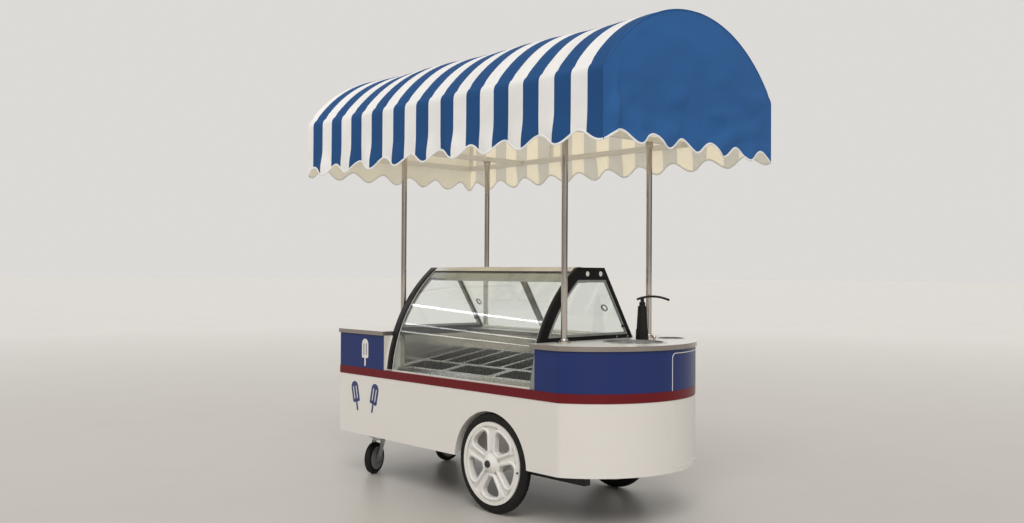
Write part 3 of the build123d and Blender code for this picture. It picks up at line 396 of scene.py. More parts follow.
class Shape:
    """Gathers solids into one piece that rides on one body. Its looks are its slot's if none are named."""

    def __init__(self, name, body, slot, *look_names):
        self.name = name
        self.body = body
        self.slot = slot
        self.materials = [looks[look] for look in look_names or (slot,)]
        self.mesh = bmesh.new()

    def rows(self, grid, close_u=False, close_v=False, index=0):
        """Joins rows of points into quads."""
        made = [[self.mesh.verts.new(p) for p in row] for row in grid]
        count_u, count_v = len(made), len(made[0])
        for i in range(count_u if close_u else count_u - 1):
            row, beyond = made[i], made[(i + 1) % count_u]
            for j in range(count_v if close_v else count_v - 1):
                n = (j + 1) % count_v
                self.mesh.faces.new((row[j], beyond[j], beyond[n], row[n])).material_index = index
        return made

    def bar(self, loops, index=0):
        """Joins closed loops of points into a bar with capped ends."""
        made = self.rows(loops, close_v=True, index=index)
        for end in (list(reversed(made[0])), made[-1]):
            self.mesh.faces.new(end).material_index = index

    def lathe(self, at, profile, steps=32, index=0):
        """Turns (radius, height) points about a frame's z. A radius of 0 closes an end."""
        rings = []
        for radius, height in profile:
            spots = around(steps, radius) if radius else [(0, 0)]
            rings.append([self.mesh.verts.new(at @ Vector((x, y, height))) for x, y in spots])
        for low, high in zip(rings, rings[1:]):
            for k in range(steps):
                n = (k + 1) % steps
                if len(low) == 1:
                    face = (low[0], high[k], high[n])
                elif len(high) == 1:
                    face = (low[k], high[0], low[n])
                else:
                    face = (low[k], high[k], high[n], low[n])
                self.mesh.faces.new(face).material_index = index

    def plate(self, at, outline, thick, edge=0.0):
        """Raises a flat outline along a frame's z, with a small chamfer round the top."""
        points = [Vector(p) for p in outline]
        centre = sum(points, Vector((0, 0))) / len(points)
        shrunk = [p - (p - centre).normalized() * edge for p in points]
        loops = ((points, 0.0), (points, thick - edge), (shrunk, thick))
        self.bar([[at @ Vector((p.x, p.y, height)) for p in loop] for loop, height in loops])

    def tube(self, points, section, closed=False, up=UP, index=0):
        """Sweeps a closed section of (side, rise) offsets along points."""
        count = len(points)
        rings = []
        for k, point in enumerate(points):
            before = points[(k - 1) % count] if closed or k else points[0]
            after = points[(k + 1) % count] if closed or k < count - 1 else points[-1]
            along = (after - before).normalized()
            side = along.cross(Vector(up)).normalized()
            rise = side.cross(along)
            rings.append([point + side * s + rise * r for s, r in section])
        if closed:
            self.rows(rings, close_u=True, close_v=True, index=index)
        else:
            self.bar(rings, index)

    def done(self, smooth=True, angle=35.0):
        """Makes the piece."""
        bmesh.ops.recalc_face_normals(self.mesh, faces=self.mesh.faces)
        data = bpy.data.meshes.new(self.name)
        self.mesh.to_mesh(data)
        self.mesh.free()
        for look in self.materials:
            data.materials.append(look)
        made = add(self.name, data)
        if smooth:
            data.shade_smooth()
            data.set_sharp_from_angle(angle=radians(angle))
        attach(made, self.body)
        return made


def rounded(length, width, radius, steps=5):
    """The outline of a rounded rectangle about its middle."""
    points = []
    for sx, sy, start in ((1, 1, 0), (-1, 1, 90), (-1, -1, 180), (1, -1, 270)):
        corner_x, corner_y = sx * (length / 2 - radius), sy * (width / 2 - radius)
        for k in range(steps + 1):
            a = radians(start + 90 * k / steps)
            points.append((corner_x + radius * cos(a), corner_y + radius * sin(a)))
    return points


def bolt(shape, at, radius, height):
    """A hexagon head on a washer, standing on a frame's plane."""
    washer = ((0, 0), (1.75, 0), (1.75, 0.22), (0, 0.22))
    head = ((0, 0.2), (1.12, 0.2), (1.12, 0.82), (0.9, 1), (0, 1))
    for section, steps in ((washer, 20), (head, 6)):
        shape.lathe(at, [(radius * r, height * h) for r, h in section], steps)


def screw(shape, at, radius, height):
    """A round button head with a recess in its top."""
    section = ((0, 0), (1, 0), (1, 0.35), (0.8, 0.8), (0.5, 1), (0.32, 1), (0.26, 0.55), (0, 0.5))
    shape.lathe(at, [(radius * r, height * h) for r, h in section], 18)


# Canopy: one continuous sheet over bows and eave frame, with scalloped skirts
EAVE_Z = 2.140
EAVE_ROUND = 0.050
NOTCH_Z = 1.874
# Number of notches, and how far the first and the last stand from the side's ends
FRONT_NOTCHES = (10, 0.063, 0.151)
END_NOTCHES = (6, 0.118, 0.095)
BOW_INSET = 0.0225
BAY_LENGTH = 2 * (CANOPY_X - BOW_INSET) / 3
CANOPY_RISE = RIDGE_Z - EAVE_Z
CANOPY_RADIUS = (CANOPY_Y**2 + CANOPY_RISE**2) / (2 * CANOPY_RISE)
CANOPY_CENTRE_Z = RIDGE_Z - CANOPY_RADIUS
EAVE_LEAN = asin((EAVE_Z - CANOPY_CENTRE_Z) / CANOPY_RADIUS)
SKIRT_TOP_Z = EAVE_Z - EAVE_ROUND * (1 - cos(EAVE_LEAN)) / sin(EAVE_LEAN)
SKIRT_ROWS = 16
EAVE_ROWS = 4
ROOF_ROWS = 24
STEPS_X = 324
STEPS_Y = 160
SKIRT_FLARE = 0.0068
LOBE_FLARE = 0.0084
FLUTTER = 0.0024
FLUTTER_LENGTH = 0.151
RIPPLE = 0.0016
PUCKER_LENGTH = 0.093
ROOF_SAG = 0.007
END_SWAY = 0.4
BILLOW = 0.010
FOLD = 0.0070
LOW_FOLD = 0.0150
LOW_CREASE = 0.0055
TUCK = 0.012
TUCK_Y = -0.585
TUCK_WIDTH = 0.024
CLOTH_THICK = 0.0016


def ease(value):
    """A smooth step from 0 to 1."""
    value = min(1.0, max(0.0, value))
    return value * value * (3 - 2 * value)


def lobe_stops(half, count, first, last, corner):
    """The notches along a side, and where the lobes round its two corners end on the next sides."""
    pitch = (2 * half - first - last) / (count - 1)
    return [-half - corner, *[-half + first + k * pitch for k in range(count)], half + corner]


def skirt_height(share, at, stops):
    """Height at a share of the way up a skirt, over a foot that hangs in lobes between notches."""
    k = bisect(stops, at)
    part = (at - stops[k - 1]) / (stops[k] - stops[k - 1])
    foot = NOTCH_Z - (NOTCH_Z - LOBE_FOOT_Z) * (1 - cos(2 * pi * part)) / 2
    return foot + (SKIRT_TOP_Z - foot) * share


def sway(at, z, stops, room, seed):
    """How far a skirt stands out below the frame: each lobe flares towards its foot, less by a corner."""
    grow = ease((RING_Z + 0.020 - z) / 0.120) * ease(room / 0.09)
    lobes = cos(2 * pi * (at - stops[1]) / (stops[2] - stops[1]))
    flutter = sin(2 * pi * at / FLUTTER_LENGTH + seed)
    return grow * (SKIRT_FLARE - LOBE_FLARE * lobes + FLUTTER * flutter)


def roof_line():
    """Rows of the roof's section above a skirt, round the eave and up to the ridge: (reach, height)."""
    line = []
    for k in range(1, EAVE_ROWS + 1):
        a = (pi / 2 - EAVE_LEAN) * k / EAVE_ROWS
        line.append((CANOPY_Y - EAVE_ROUND + EAVE_ROUND * cos(a), SKIRT_TOP_Z + EAVE_ROUND * sin(a)))
    start = asin(line[-1][0] / CANOPY_RADIUS)
    for k in range(1, ROOF_ROWS + 1):
        a = start * (1 - k / ROOF_ROWS)
        line.append((CANOPY_RADIUS * sin(a), CANOPY_CENTRE_Z + CANOPY_RADIUS * cos(a)))
    return line


def barrel_side(x, sign, stops, seed):
    """Points of the barrel's section on one side, from its foot to the ridge."""
    room = CANOPY_X - abs(x)
    bay = (x + CANOPY_X - BOW_INSET) / BAY_LENGTH
    slack = sin(pi * bay) ** 2 * ease(room / 0.05)
    side = []
    for share in skirt_shares:
        z = skirt_height(share, x, stops)
        slow = ripple.noise(Vector((x * 7, z * 3, seed)))
        y = CANOPY_Y + sway(x, z, stops, room, seed)
        y += RIPPLE * slow * ease((EAVE_Z - z) / 0.06) * ease(room / 0.05)
        side.append(Vector((x, sign * y, z)))
    for reach, height in roof_line():
        rise = (height - EAVE_Z) / CANOPY_RISE
        pucker = RIPPLE * sin(2 * pi * x / PUCKER_LENGTH + 5 * rise + seed)
        pucker *= ease(rise * 4) * (1 - 0.5 * rise)
        sag = ROOF_SAG * slack * ease(rise * 3)
        out = Vector((reach, height - CANOPY_CENTRE_Z)).normalized() * (pucker - sag)
        side.append(Vector((x, sign * (reach + out.x), height + out.y)))
    return side


def end_drape(point, room, seed):
    """How far an end panel stands out: it billows above the frame, and wrinkles most low down."""
    under = RIDGE_Z - point.z
    billow = BILLOW * ease((point.z - RING_Z) / 0.22) * ease(under / 0.16) * ease(room / 0.25)
    held = ease(room / 0.06) * ease(under / 0.10)
    low = ease((EAVE_Z + 0.12 - point.z) / 0.30)
    fold = ripple.noise(Vector((point.y * 4.5 + 2.5 * point.z, point.z * 9 - 3 * point.y, seed)))
    crease = ripple.noise(Vector((point.y * 13, point.z * 6, seed + 4)))
    drape = (FOLD + LOW_FOLD * low) * max(-0.10, fold) + LOW_CREASE * low * max(-0.15, crease)
    tuck = TUCK * low * exp(-((point.y - TUCK_Y) / TUCK_WIDTH) ** 2)
    return billow + held * (drape + tuck)


skirt_shares = [(k / SKIRT_ROWS) ** 1.25 for k in range(SKIRT_ROWS + 1)]
front_stops = lobe_stops(CANOPY_X, *FRONT_NOTCHES, END_NOTCHES[1])
rear_stops = lobe_stops(CANOPY_X, *FRONT_NOTCHES, END_NOTCHES[2])
right_stops = lobe_stops(CANOPY_Y, *END_NOTCHES, FRONT_NOTCHES[2])
left_stops = lobe_stops(CANOPY_Y, *END_NOTCHES, FRONT_NOTCHES[1])
canopy = Shape("canopy_cloth", "cart", "canopy_cloth",
               "canopy_cloth", "cloth_end", "cloth_inside", "cloth_end_inside")
barrel = []
for k in range(STEPS_X + 1):
    x = -CANOPY_X + 2 * CANOPY_X * k / STEPS_X
    front = barrel_side(x, -1, front_stops, 0.6)
    rear = barrel_side(x, 1, rear_stops, 2.1)
    barrel.append(front + list(reversed(rear))[1:])
canopy.rows(barrel)
foot_loop = {"front": [line[0] for line in barrel], "rear": [line[-1] for line in barrel]}
for side, edge, sign, stops, seed in (("right", barrel[-1], 1, right_stops, 0.9),
                                      ("left", barrel[0], -1, left_stops, 2.7)):
    panel = []
    for k in range(len(edge) // 2 + 1):
        near, far = edge[k], edge[-1 - k]
        row = []
        for j in range(STEPS_Y + 1):
            part = j / STEPS_Y
            point = near.lerp(far, part)
            room = min(part, 1 - part) * 2 * abs(near.y)
            if k <= SKIRT_ROWS:
                point.z = skirt_height(skirt_shares[k], point.y, stops)
                point.x += sign * END_SWAY * sway(point.y, point.z, stops, room, seed)
            point.x += sign * end_drape(point, room, seed)
            row.append(point)
        panel.append(row)
    canopy.rows(panel, index=1)
    foot_loop[side] = panel[0]
bmesh.ops.remove_doubles(canopy.mesh, verts=canopy.mesh.verts, dist=0.0004)
cloth_area = sum(f.calc_area() for f in canopy.mesh.faces)
canopy_cloth = canopy.done(angle=50)
thicken = canopy_cloth.modifiers.new("thickness", "SOLIDIFY")
thicken.thickness = CLOTH_THICK
thicken.offset = -1
thicken.material_offset = 2
thicken.material_offset_rim = 2
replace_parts(canopy_cloth, "canopy_cover")

binding_line = foot_loop["front"][:-1] + foot_loop["right"][:-1]
binding_line += list(reversed(foot_loop["rear"]))[:-1] + list(reversed(foot_loop["left"]))[:-1]
binding = Shape("canopy_binding", "cart", "canopy_cloth", "cloth_white")
binding.tube(binding_line, [(0.0024 * x, 0.0055 * y) for x, y in around(8)], closed=True)
binding = binding.done()

welts = Shape("canopy_welts", "cart", "canopy_cloth", "cloth_end", "cloth_white")
for line, index in ((barrel[0], 1), (barrel[-1], 0)):
    welts.tube(line, around(8, 0.0026), up=(1, 0, 0), index=index)
welts = welts.done()

# Main wheels: rounded tyres with a tread, bolts round the hub, crests on the rim and a valve
NOTCH = 0.0016
TREAD_STEPS = 216
SHOULDER = (0.0083, 0.0200)
BEAD_RADIUS = 0.2122
TYRE_HALF = TYRE_FACE_Y - TYRE_MIDDLE_Y
# Half a tyre's section from the middle of its tread: offset and depth under the tread
TREAD = mm((0, 2.2), (1.1, 2.2), (1.5, 0), (5.8, 0), (6.2, 2.2), (8, 2.2), (8.4, 0.4), (12.5, 1.4),
           (16, 3.4), (19, 6.4), (21.2, 10.2), (22.8, 14.6), (23.2, 16), (24, 16.8))
# The rest of it down to the bead: distance in from the tyre's face and height over the bead
SIDEWALL = mm((0.3, 23.8), (0, 18.8), (0.6, 13.8), (1.4, 7), (1, 6), (2.2, 2.6), (4, 0.6), (8, 0))
TYRE_SECTION = ([(offset, WHEEL_RADIUS - depth) for offset, depth in TREAD]
                + [(TYRE_HALF - inset, BEAD_RADIUS + rise) for inset, rise in SIDEWALL])
SPOKE_COUNT = 5
SPOKE_ROOT = Vector((0.046, 0.025))
SPOKE_TIP = Vector((0.181, 0.032))
SPOKE_DEEP = 0.032
HOLE_INNER = 0.066
HOLE_OUTER = 0.174
HOLE_ROOT_ROUND = 0.012
HOLE_TIP_ROUND = 0.026
# Distance out from a hole's edge and height over its back
CREST_SECTION = mm((-1.5, 0), (-1.5, 27), (-0.8, 30.3), (1.5, 32.6), (5, 34.2), (8.5, 34.6), (12, 34),
                   (15, 32.2), (17.2, 29.6), (18.2, 26.2), (18.2, 0))
BOLT_RING = 0.0605
BOLT_SEAT = 0.010
# Bolts and screws by radius and height
WHEEL_BOLT = (0.0036, 0.0050)
AXLE_NUT = (0.0085, 0.0075)
PLATE_BOLT = (0.0048, 0.0055)
FLANGE_SCREW = (0.0042, 0.0026)
END_SCREW = (0.0042, 0.0024)
VALVE_RING = 0.203
VALVE_ANGLE = radians(-5)
VALVE_SECTION = mm((0, 0), (5.8, 0), (5.8, 1.5), (4.2, 3), (4.2, 7), (3.4, 8.2), (0, 8.2))


def rubber_tyre(name, body, solid, at, half, steps, notch=0.0):
    """A tyre in place of a solid one, turned from half its section, with notches across its shoulders."""
    section = [(-offset, radius) for offset, radius in reversed(half)] + half[1:]
    grid = []
    for k, (x, y) in enumerate(around(steps)):
        ring = []
        for offset, radius in section:
            cut = notch if k % 4 == 0 and SHOULDER[0] < abs(offset) < SHOULDER[1] else 0.0
            ring.append(at @ Vector(((radius - cut) * x, (radius - cut) * y, offset)))
        grid.append(ring)
    rubber = Shape(name, body, "tyre_black")
    rubber.rows(grid, close_u=True, close_v=True)
    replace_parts(rubber.done(angle=40), solid)


def hole_outline(steps=8):
    """The hole between two spokes as a loop about the axle, its middle along x, its corners rounded."""
    along = (SPOKE_TIP - SPOKE_ROOT).normalized()
    away = Vector((-along.y, along.x))

    def corner(reach, radius):
        """The middle of a corner's arc: at a reach from the axle and a radius from the spoke's edge."""
        start = SPOKE_ROOT + away * radius
        back = start.dot(along)
        return start + along * (sqrt(back**2 - start.length_squared + reach**2) - back)

    def arc(centre, radius, start, turn):
        """Points of an arc, from one angle through a turn."""
        angles = [start + turn * k / steps for k in range(steps + 1)]
        return [centre + Vector((cos(a), sin(a))) * radius for a in angles]

    def round_off(centre, radius, start, end):
        """Points of a corner's arc between two directions."""
        first = atan2(start.y, start.x)
        return arc(centre, radius, first, (atan2(end.y, end.x) - first + pi) % (2 * pi) - pi)

    root = corner(HOLE_INNER + HOLE_ROOT_ROUND, HOLE_ROOT_ROUND)
    tip = corner(HOLE_OUTER - HOLE_TIP_ROUND, HOLE_TIP_ROUND)
    edge = round_off(root, HOLE_ROOT_ROUND, -root, -away) + round_off(tip, HOLE_TIP_ROUND, -away, tip)
    spin = Matrix.Rotation(-pi / SPOKE_COUNT, 2)
    edge = [spin @ p for p in edge]
    axle = Vector((0, 0))
    first, last = (atan2(p.y, p.x) for p in (edge[0], edge[-1]))
    half = arc(axle, HOLE_INNER, 0, first)[:-1] + edge + arc(axle, HOLE_OUTER, last, -last)[1:]
    return half + [Vector((p.x, -p.y)) for p in reversed(half[1:-1])]


def rim_crests(side, sign):
    """Round crests along the edges of a rim's holes: two to a spoke, running out into the ring."""
    crests = Shape(f"rim_crests_{side}", f"wheel_{side}", "rim_white")
    loop = hole_outline()
    back = Vector((WHEEL_X, sign * (RIM_FACE_Y - SPOKE_DEEP), WHEEL_RADIUS))
    for k in range(SPOKE_COUNT):
        a = pi / 2 + (2 * k + 1) * pi / SPOKE_COUNT
        at = place(back, (0, sign, 0), (cos(a), 0, sin(a)))
        grid = []
        for before, point, after in zip(loop[-1:] + loop[:-1], loop, loop[1:] + loop[:1]):
            way = (after - before).normalized()
            out = Vector((way.y, -way.x))
            spots = [(point + out * reach, height) for reach, height in CREST_SECTION]
            grid.append([at @ Vector((spot.x, spot.y, height)) for spot, height in spots])
        crests.rows(grid, close_u=True, close_v=True)
    crests.done(angle=50)


for side, sign in (("front", -1), ("rear", 1)):
    outward = Vector((0, sign, 0))
    hub = Vector((WHEEL_X, 0, WHEEL_RADIUS))
    axle = place(hub + outward * TYRE_MIDDLE_Y, outward, (1, 0, 0))
    wheel = f"wheel_{side}"
    rubber_tyre(f"tyre_rubber_{side}", wheel, f"tyre_{side}", axle, TYRE_SECTION, TREAD_STEPS, NOTCH)

    bolts = Shape(f"wheel_bolts_{side}", wheel, "zinc")
    for k in range(SPOKE_COUNT):
        a = pi / 2 + 2 * pi * k / SPOKE_COUNT
        ring = Vector((cos(a), 0, sin(a))) * BOLT_RING
        bolt(bolts, place(hub + ring + outward * (RIM_FACE_Y - BOLT_SEAT), outward), *WHEEL_BOLT)
    bolts.done()

    rim_crests(side, sign)

    valve = Shape(f"valve_{side}", wheel, "cap_black")
    ring = Vector((cos(VALVE_ANGLE), 0, sin(VALVE_ANGLE))) * VALVE_RING
    valve.lathe(place(hub + ring + outward * RIM_FACE_Y, outward), VALVE_SECTION, 16)
    valve.done()

# Casters: rounded tyres, axle nuts, bearing rings and plate bolts
CASTER_SECTION = mm((0, 95), (6, 94.8), (12, 93.6), (16.5, 91), (19.5, 86.8), (20.8, 82), (20.6, 76),
                    (19.8, 72.5), (20.2, 71.5), (18.5, 70), (15, 69.4))
DISH_SECTION = mm((67.5, 0), (66.5, 1.6), (60, 1.6), (58, 0.2), (30, 0.2), (28, 1.8), (14, 2.2), (12.5, 0))
BEARING_SECTION = mm((42.8, 0), (45.2, 2), (46, 6), (45.2, 10), (42.8, 12))
PIN_NUT_SECTION = mm((0, 0), (18, 0), (18, 4), (0, 4))
DISH_OFFSET = 0.0209
NUT_OFFSET = 0.0330
BEARING_DROP = 0.0130
PIN_NUT_DROP = 0.0140
PLATE_BOLT_X = 0.045
PLATE_BOLT_Y = 0.034
for side in ("front", "rear"):
    across = Vector(joints[f"caster_{side}_roll"]["axis"])
    axle = Vector(joints[f"caster_{side}_roll"]["pos_m"])
    trail = UP.cross(across)
    pivot = Vector(joints[f"caster_{side}_swivel"]["pos_m"])
    pivot.z = FORK_TOP_Z
    wheel = f"caster_wheel_{side}"
    spin = place(axle, across, trail)
    rubber_tyre(f"caster_rubber_{side}", wheel, f"caster_tyre_{side}", spin, CASTER_SECTION, 96)

    dish = Shape(f"caster_dish_{side}", wheel, "caster_grey")
    hardware = Shape(f"caster_hardware_{side}", f"caster_{side}", "zinc")
    for out in (-across, across):
        dish.lathe(place(axle + out * DISH_OFFSET, out, trail), DISH_SECTION, 48)
        bolt(hardware, place(axle + out * NUT_OFFSET, out, trail), *AXLE_NUT)
    dish.done()
    hardware.lathe(place(pivot - UP * BEARING_DROP, UP), BEARING_SECTION, 48)
    hardware.lathe(place(pivot - UP * PIN_NUT_DROP, -UP), PIN_NUT_SECTION, 6)
    hardware.done()

    plate_bolts = Shape(f"caster_plate_bolts_{side}", "cart", "zinc")
    for dx in (-PLATE_BOLT_X, PLATE_BOLT_X):
        for dy in (-PLATE_BOLT_Y, PLATE_BOLT_Y):
            bolt(plate_bolts, place(pivot + Vector((dx, dy, CLEARANCE)), -UP), *PLATE_BOLT)
    plate_bolts.done()

# Posts: flange screws and collars below, and clamp collars under the eave frame
FLANGE_THICK = 0.008
FLANGE_SCREW_RING = 0.0268
FOOT_COLLAR = mm((16.1, 13), (18.5, 12.5), (20.5, 10), (21.5, 0), (16.1, 0))
TOP_COLLAR = mm((16.2, 0), (30, 0), (30, 3.5), (20.5, 4.5), (20.5, 30), (19.5, 32), (16.2, 32))
fixings = Shape("post_fixings", "cart", "post_chrome")
for x in (-POST_X, POST_X):
    for y in (-POST_Y, POST_Y):
        foot = Vector((x, y, COUNTER_Z + FLANGE_THICK))
        for k in range(4):
            a = radians(45 + 90 * k)
            ring = Vector((cos(a), sin(a), 0)) * FLANGE_SCREW_RING
            screw(fixings, place(foot + ring, UP), *FLANGE_SCREW)
        fixings.lathe(place(foot, UP), FOOT_COLLAR)
        fixings.lathe(place((x, y, RING_Z), -UP), TOP_COLLAR)
fixings.done()

# Display: glass channel, nosing, side trims, arms, grommets, clips and screws
GLASS_FOOT_Y = low_corner("front_glass").y
GLASS_CENTRE_Y = 0.3599
GLASS_CENTRE_Z = 0.5900
GLASS_RADIUS = 0.848
ARM_RADIUS = 0.800
SILL_Z = low_corner("side_glass").z - CLEARANCE
BROW_Z = low_corner("display_top").z
TOP_Z = high_corner("display_top").z
FOOT_Y = high_corner("rear_frame").y
REAR_SLOPE = Vector((0, -0.528, 0.849))
REAR_OUT = Vector((0, REAR_SLOPE.z, -REAR_SLOPE.y))
REAR_EDGE = 0.0306
END_GAP = 0.001
CHANNEL_SECTION = mm((-3.5, 0), (-3.5, 7.2), (-2.4, 8.2), (-0.6, 8.2), (-0.6, 0))
NOSING_CAP = mm((-149, 2.8), (-118, 2.8), (-118, 0.3), (-151, 0.3))


def arc_y(radius, z):
    """Where an arc about the front glass's centre line stands at a height."""
    return GLASS_CENTRE_Y - sqrt(radius**2 - (z - GLASS_CENTRE_Z) ** 2)


def rear_y(z, shift):
    """Where the sloping rear edge of the display stands at a height, drawn in by a shift."""
    return FOOT_Y + (z - COUNTER_Z) * REAR_SLOPE.y / REAR_SLOPE.z - shift


def along_glass(name, slot, look, section, angle):
    """A piece with one (y, z) section, drawn out between the display's ends."""
    piece = Shape(name, "cart", slot, look)
    ends = (PLATE_LEFT_X + END_GAP, PLATE_X - END_GAP)
    piece.bar([[Vector((x, y, z)) for y, z in section] for x in ends])
    piece.done(angle=angle)


def on_glass(heights, proud, cap=()):
    """A (y, z) section on the face of the curved glass, with a cap over its top."""
    face = [(arc_y(GLASS_RADIUS + proud, z), z) for z in heights]
    seat = [(arc_y(GLASS_RADIUS + CLEARANCE, z), z) for z in heights]
    return face + list(cap) + list(reversed(seat))


channel = [(GLASS_FOOT_Y + y, LEDGE_Z + z) for y, z in CHANNEL_SECTION]
along_glass("glass_channel", "body_white", "body_white", channel, 20)
nosing = on_glass(levels(TOP_Z - 0.0205, TOP_Z + 0.0005, 5), 0.0026, [(y, TOP_Z + z) for y, z in NOSING_CAP])
along_glass("top_nosing", "counter_steel", "bright_trim", nosing, 30)
gasket = on_glass(levels(TOP_Z - 0.0255, TOP_Z - 0.0209, 2), 0.0016)
along_glass("nosing_gasket", "frame_black", "frame_black", gasket, 30)


def end_loop(inset, steps=14):
    """The see-through part of a display end as a loop of (y, z), set in from its edges."""
    heights = levels(SILL_Z + inset, BROW_Z - inset, steps)
    rear = [(rear_y(z, REAR_EDGE + inset), z) for z in (heights[-1], heights[0])]
    return [(arc_y(ARM_RADIUS - inset, z), z) for z in heights] + rear


trims = Shape("side_trims", "cart", "stile_grey", "trim_grey")
for plate_x in (PLATE_X, PLATE_LEFT_X - PLATE_SHEET):
    for seat, face in ((0.0092, 0.0118), (0.0028, 0.0002)):
        loops = ((seat, 0.0004), (face, 0.0004), (face, 0.0120), (seat, 0.0130))
        trims.rows([[Vector((plate_x + x, y, z)) for y, z in end_loop(inset)] for x, inset in loops],
                   close_u=True, close_v=True)
trims.done(angle=25)

ARM_FOOT_Z = LEDGE_Z + END_GAP
ARM_TOP_Z = TOP_Z - END_GAP
LEFT_ARM_X = -0.560
RIGHT_ARM_X = PLATE_X - PLATE_SHEET
# Width of the painted highlight along each arm's inner edge
ARM_HIGHLIGHT = 0.0016
FILLER_X = CABINET_X - 0.005


def bands_on_glass(name, slot, look, bands):
    """A piece of raised bands up the face of the curved glass, each between two x and two heights."""
    piece = Shape(name, "cart", slot, look)
    for low_x, high_x, (foot, top) in bands:
        bevel = min(0.001, (high_x - low_x) / 4)
        section = ((low_x, CLEARANCE), (low_x, 0.0030), (low_x + bevel, 0.0038),
                   (high_x - bevel, 0.0038), (high_x, 0.0030), (high_x, CLEARANCE))
        piece.bar([[Vector((x, arc_y(GLASS_RADIUS + lift, z), z)) for x, lift in section]
                   for z in levels(foot, top, 24)])
    piece.done(angle=40)


full = (ARM_FOOT_Z, ARM_TOP_Z)
over_slab = (SLAB_Z + 0.008, ARM_TOP_Z)
under_slab = (ARM_FOOT_Z, SLAB_Z - END_GAP)
bands_on_glass("arm_caps", "black_plate", "black_plate", (
    (PLATE_LEFT_X, LEFT_ARM_X, full), (RIGHT_ARM_X, PLATE_X + PLATE_SHEET, over_slab)))
# The thin white strips along the arms' inner edges are painted highlights of the glass edges; the wider white
# strips under the slab stand beside the cabinets.
bands_on_glass("arm_highlights_and_side_strips", "body_white", "body_white", (
    (LEFT_ARM_X, LEFT_ARM_X + ARM_HIGHLIGHT, full), (RIGHT_ARM_X - ARM_HIGHLIGHT, RIGHT_ARM_X, over_slab),
    (FILLER_X, CABINET_X - 0.0006, under_slab), (-CABINET_X + 0.0004, PLATE_LEFT_X, under_slab)))
bands_on_glass("glass_fillers", "stile_grey", "trim_grey", ((PLATE_X, FILLER_X, under_slab),))

SOCKET_SECTION = mm((0, 0), (13.9, 0), (13.9, 4.6), (12.8, 5.6), (11, 5), (6, 5.6), (0, 5.8))
SOCKET_YS = (-0.084, 0.018)
SOCKET_Z = middle("display_top").z
sockets = Shape("lamp_sockets", "cart", "lamp_lens")
for plate_x, out in ((PLATE_X, 1), (PLATE_LEFT_X, -1)):
    for y in SOCKET_YS:
        sockets.lathe(place((plate_x + out * PLATE_SHEET / 2, y, SOCKET_Z), (out, 0, 0)), SOCKET_SECTION)
sockets.done()

PANE_MIDDLE = 0.201
STILE_X = -0.051


def on_pane(x, depth):
    """A point half-way up the sliding panes, at a depth under the rear frame's slope."""
    return Vector((x, FOOT_Y, COUNTER_Z)) + REAR_SLOPE * PANE_MIDDLE - REAR_OUT * depth


cover = Shape("stile_cover", "sliding_right", "stile_grey", "trim_grey")
cover_frame = place(on_pane(STILE_X, 0.0230), -REAR_OUT, (1, 0, 0))
cover.plate(cover_frame, rounded(0.041, 0.354, 0.003, 3), 0.0012, 0.0004)
cover.done()

CLIP_Z = 0.952
clips = Shape("pane_clips", "cart", "frame_black")
for plate_x in (PLATE_X, PLATE_LEFT_X - PLATE_SHEET):
    at = place((plate_x + 0.0090, rear_y(CLIP_Z, 0.0400), CLIP_Z), (1, 0, 0), (0, 1, 0))
    clips.plate(at, rounded(0.026, 0.015, 0.005), 0.0045, 0.0015)
clips.done()

GROMMET_SECTION = mm((15.7, 0.6), (17, 1.1), (20.5, 1), (21.5, 0), (16.1, 0), (15.9, -8), (21.5, -8),
                     (20.5, -9), (17, -9.1), (15.7, -8.6), (15.7, 0.6))
for side, x, depth in (("left", -0.552, 0.002), ("right", 0.496, 0.015)):
    grommet = Shape(f"finger_grommet_{side}", f"sliding_{side}", "stile_grey", "trim_grey")
    grommet.lathe(place(on_pane(x, depth), REAR_OUT, (1, 0, 0)), GROMMET_SECTION, 40)
    grommet.done()

END_SCREW_PLACES = ((-0.462, 0.720), (-0.455, 0.800), (0.150, 0.897), (0.240, 0.897))
screws = Shape("display_end_screws", "cart", "zinc")
for y, z in END_SCREW_PLACES:
    if z > COUNTER_Z:
        screw(screws, place((PLATE_X + PLATE_SHEET, y, z), (1, 0, 0)), *END_SCREW)
    screw(screws, place((PLATE_X, y, z), (-1, 0, 0)), *END_SCREW)
screws.done()

# Counter fittings: a push knob by the pump and a strainer in the sink
KNOB_PLACE = (0.8265, 0.182, COUNTER_Z)
KNOB_SECTION = mm((0, 0), (13, 0), (13, 2), (7, 4), (6, 14), (10, 17), (11.5, 21), (10, 25), (5, 27),
                  (0, 27.5))
knob = Shape("counter_knob", "cart", "post_chrome")
knob.lathe(place(KNOB_PLACE, UP), KNOB_SECTION, 28)
knob.done()

BOWL_SHEET = 0.003
STRAINER_SECTION = mm((0, 0), (45, 0), (45, 1.5), (42, 3), (37, 2.5), (33, 0.8), (0, 0.8))
SHADED_HOLE_DISC = mm((0, 0), (3.2, 0), (2.8, 0.3), (0, 0.3))
strainer = Shape("sink_strainer", "cart", "pan_steel", "counter_steel", "drain_painted_shade")
drain = place((middle("sink_bowl").x, 0, low_corner("sink_bowl").z + BOWL_SHEET), UP)
strainer.lathe(drain, STRAINER_SECTION, 48)
# Dark discs on the strainer stand for its holes: painted shade of the drain under them.
for ring, count in ((0.011, 6), (0.023, 12)):
    for x, y in around(count, ring):
        hole = drain @ Matrix.Translation((x, y, STRAINER_SECTION[-1][1]))
        strainer.lathe(hole, SHADED_HOLE_DISC, 12, index=1)
strainer.done()

# End door and the panel beside it: a thin pale bead round the two
BEAD_INSET = 0.0065
BEAD_LOW = low_corner("end_door").z + BEAD_INSET
BEAD_HIGH = high_corner("end_door").z - BEAD_INSET
BEAD_CORNER = 0.024
# Distance across the bead and height over the panel
BEAD_SECTION = mm((-2.4, -0.6), (-1.6, 1), (0, 1.6), (1.6, 1), (2.4, -0.6))


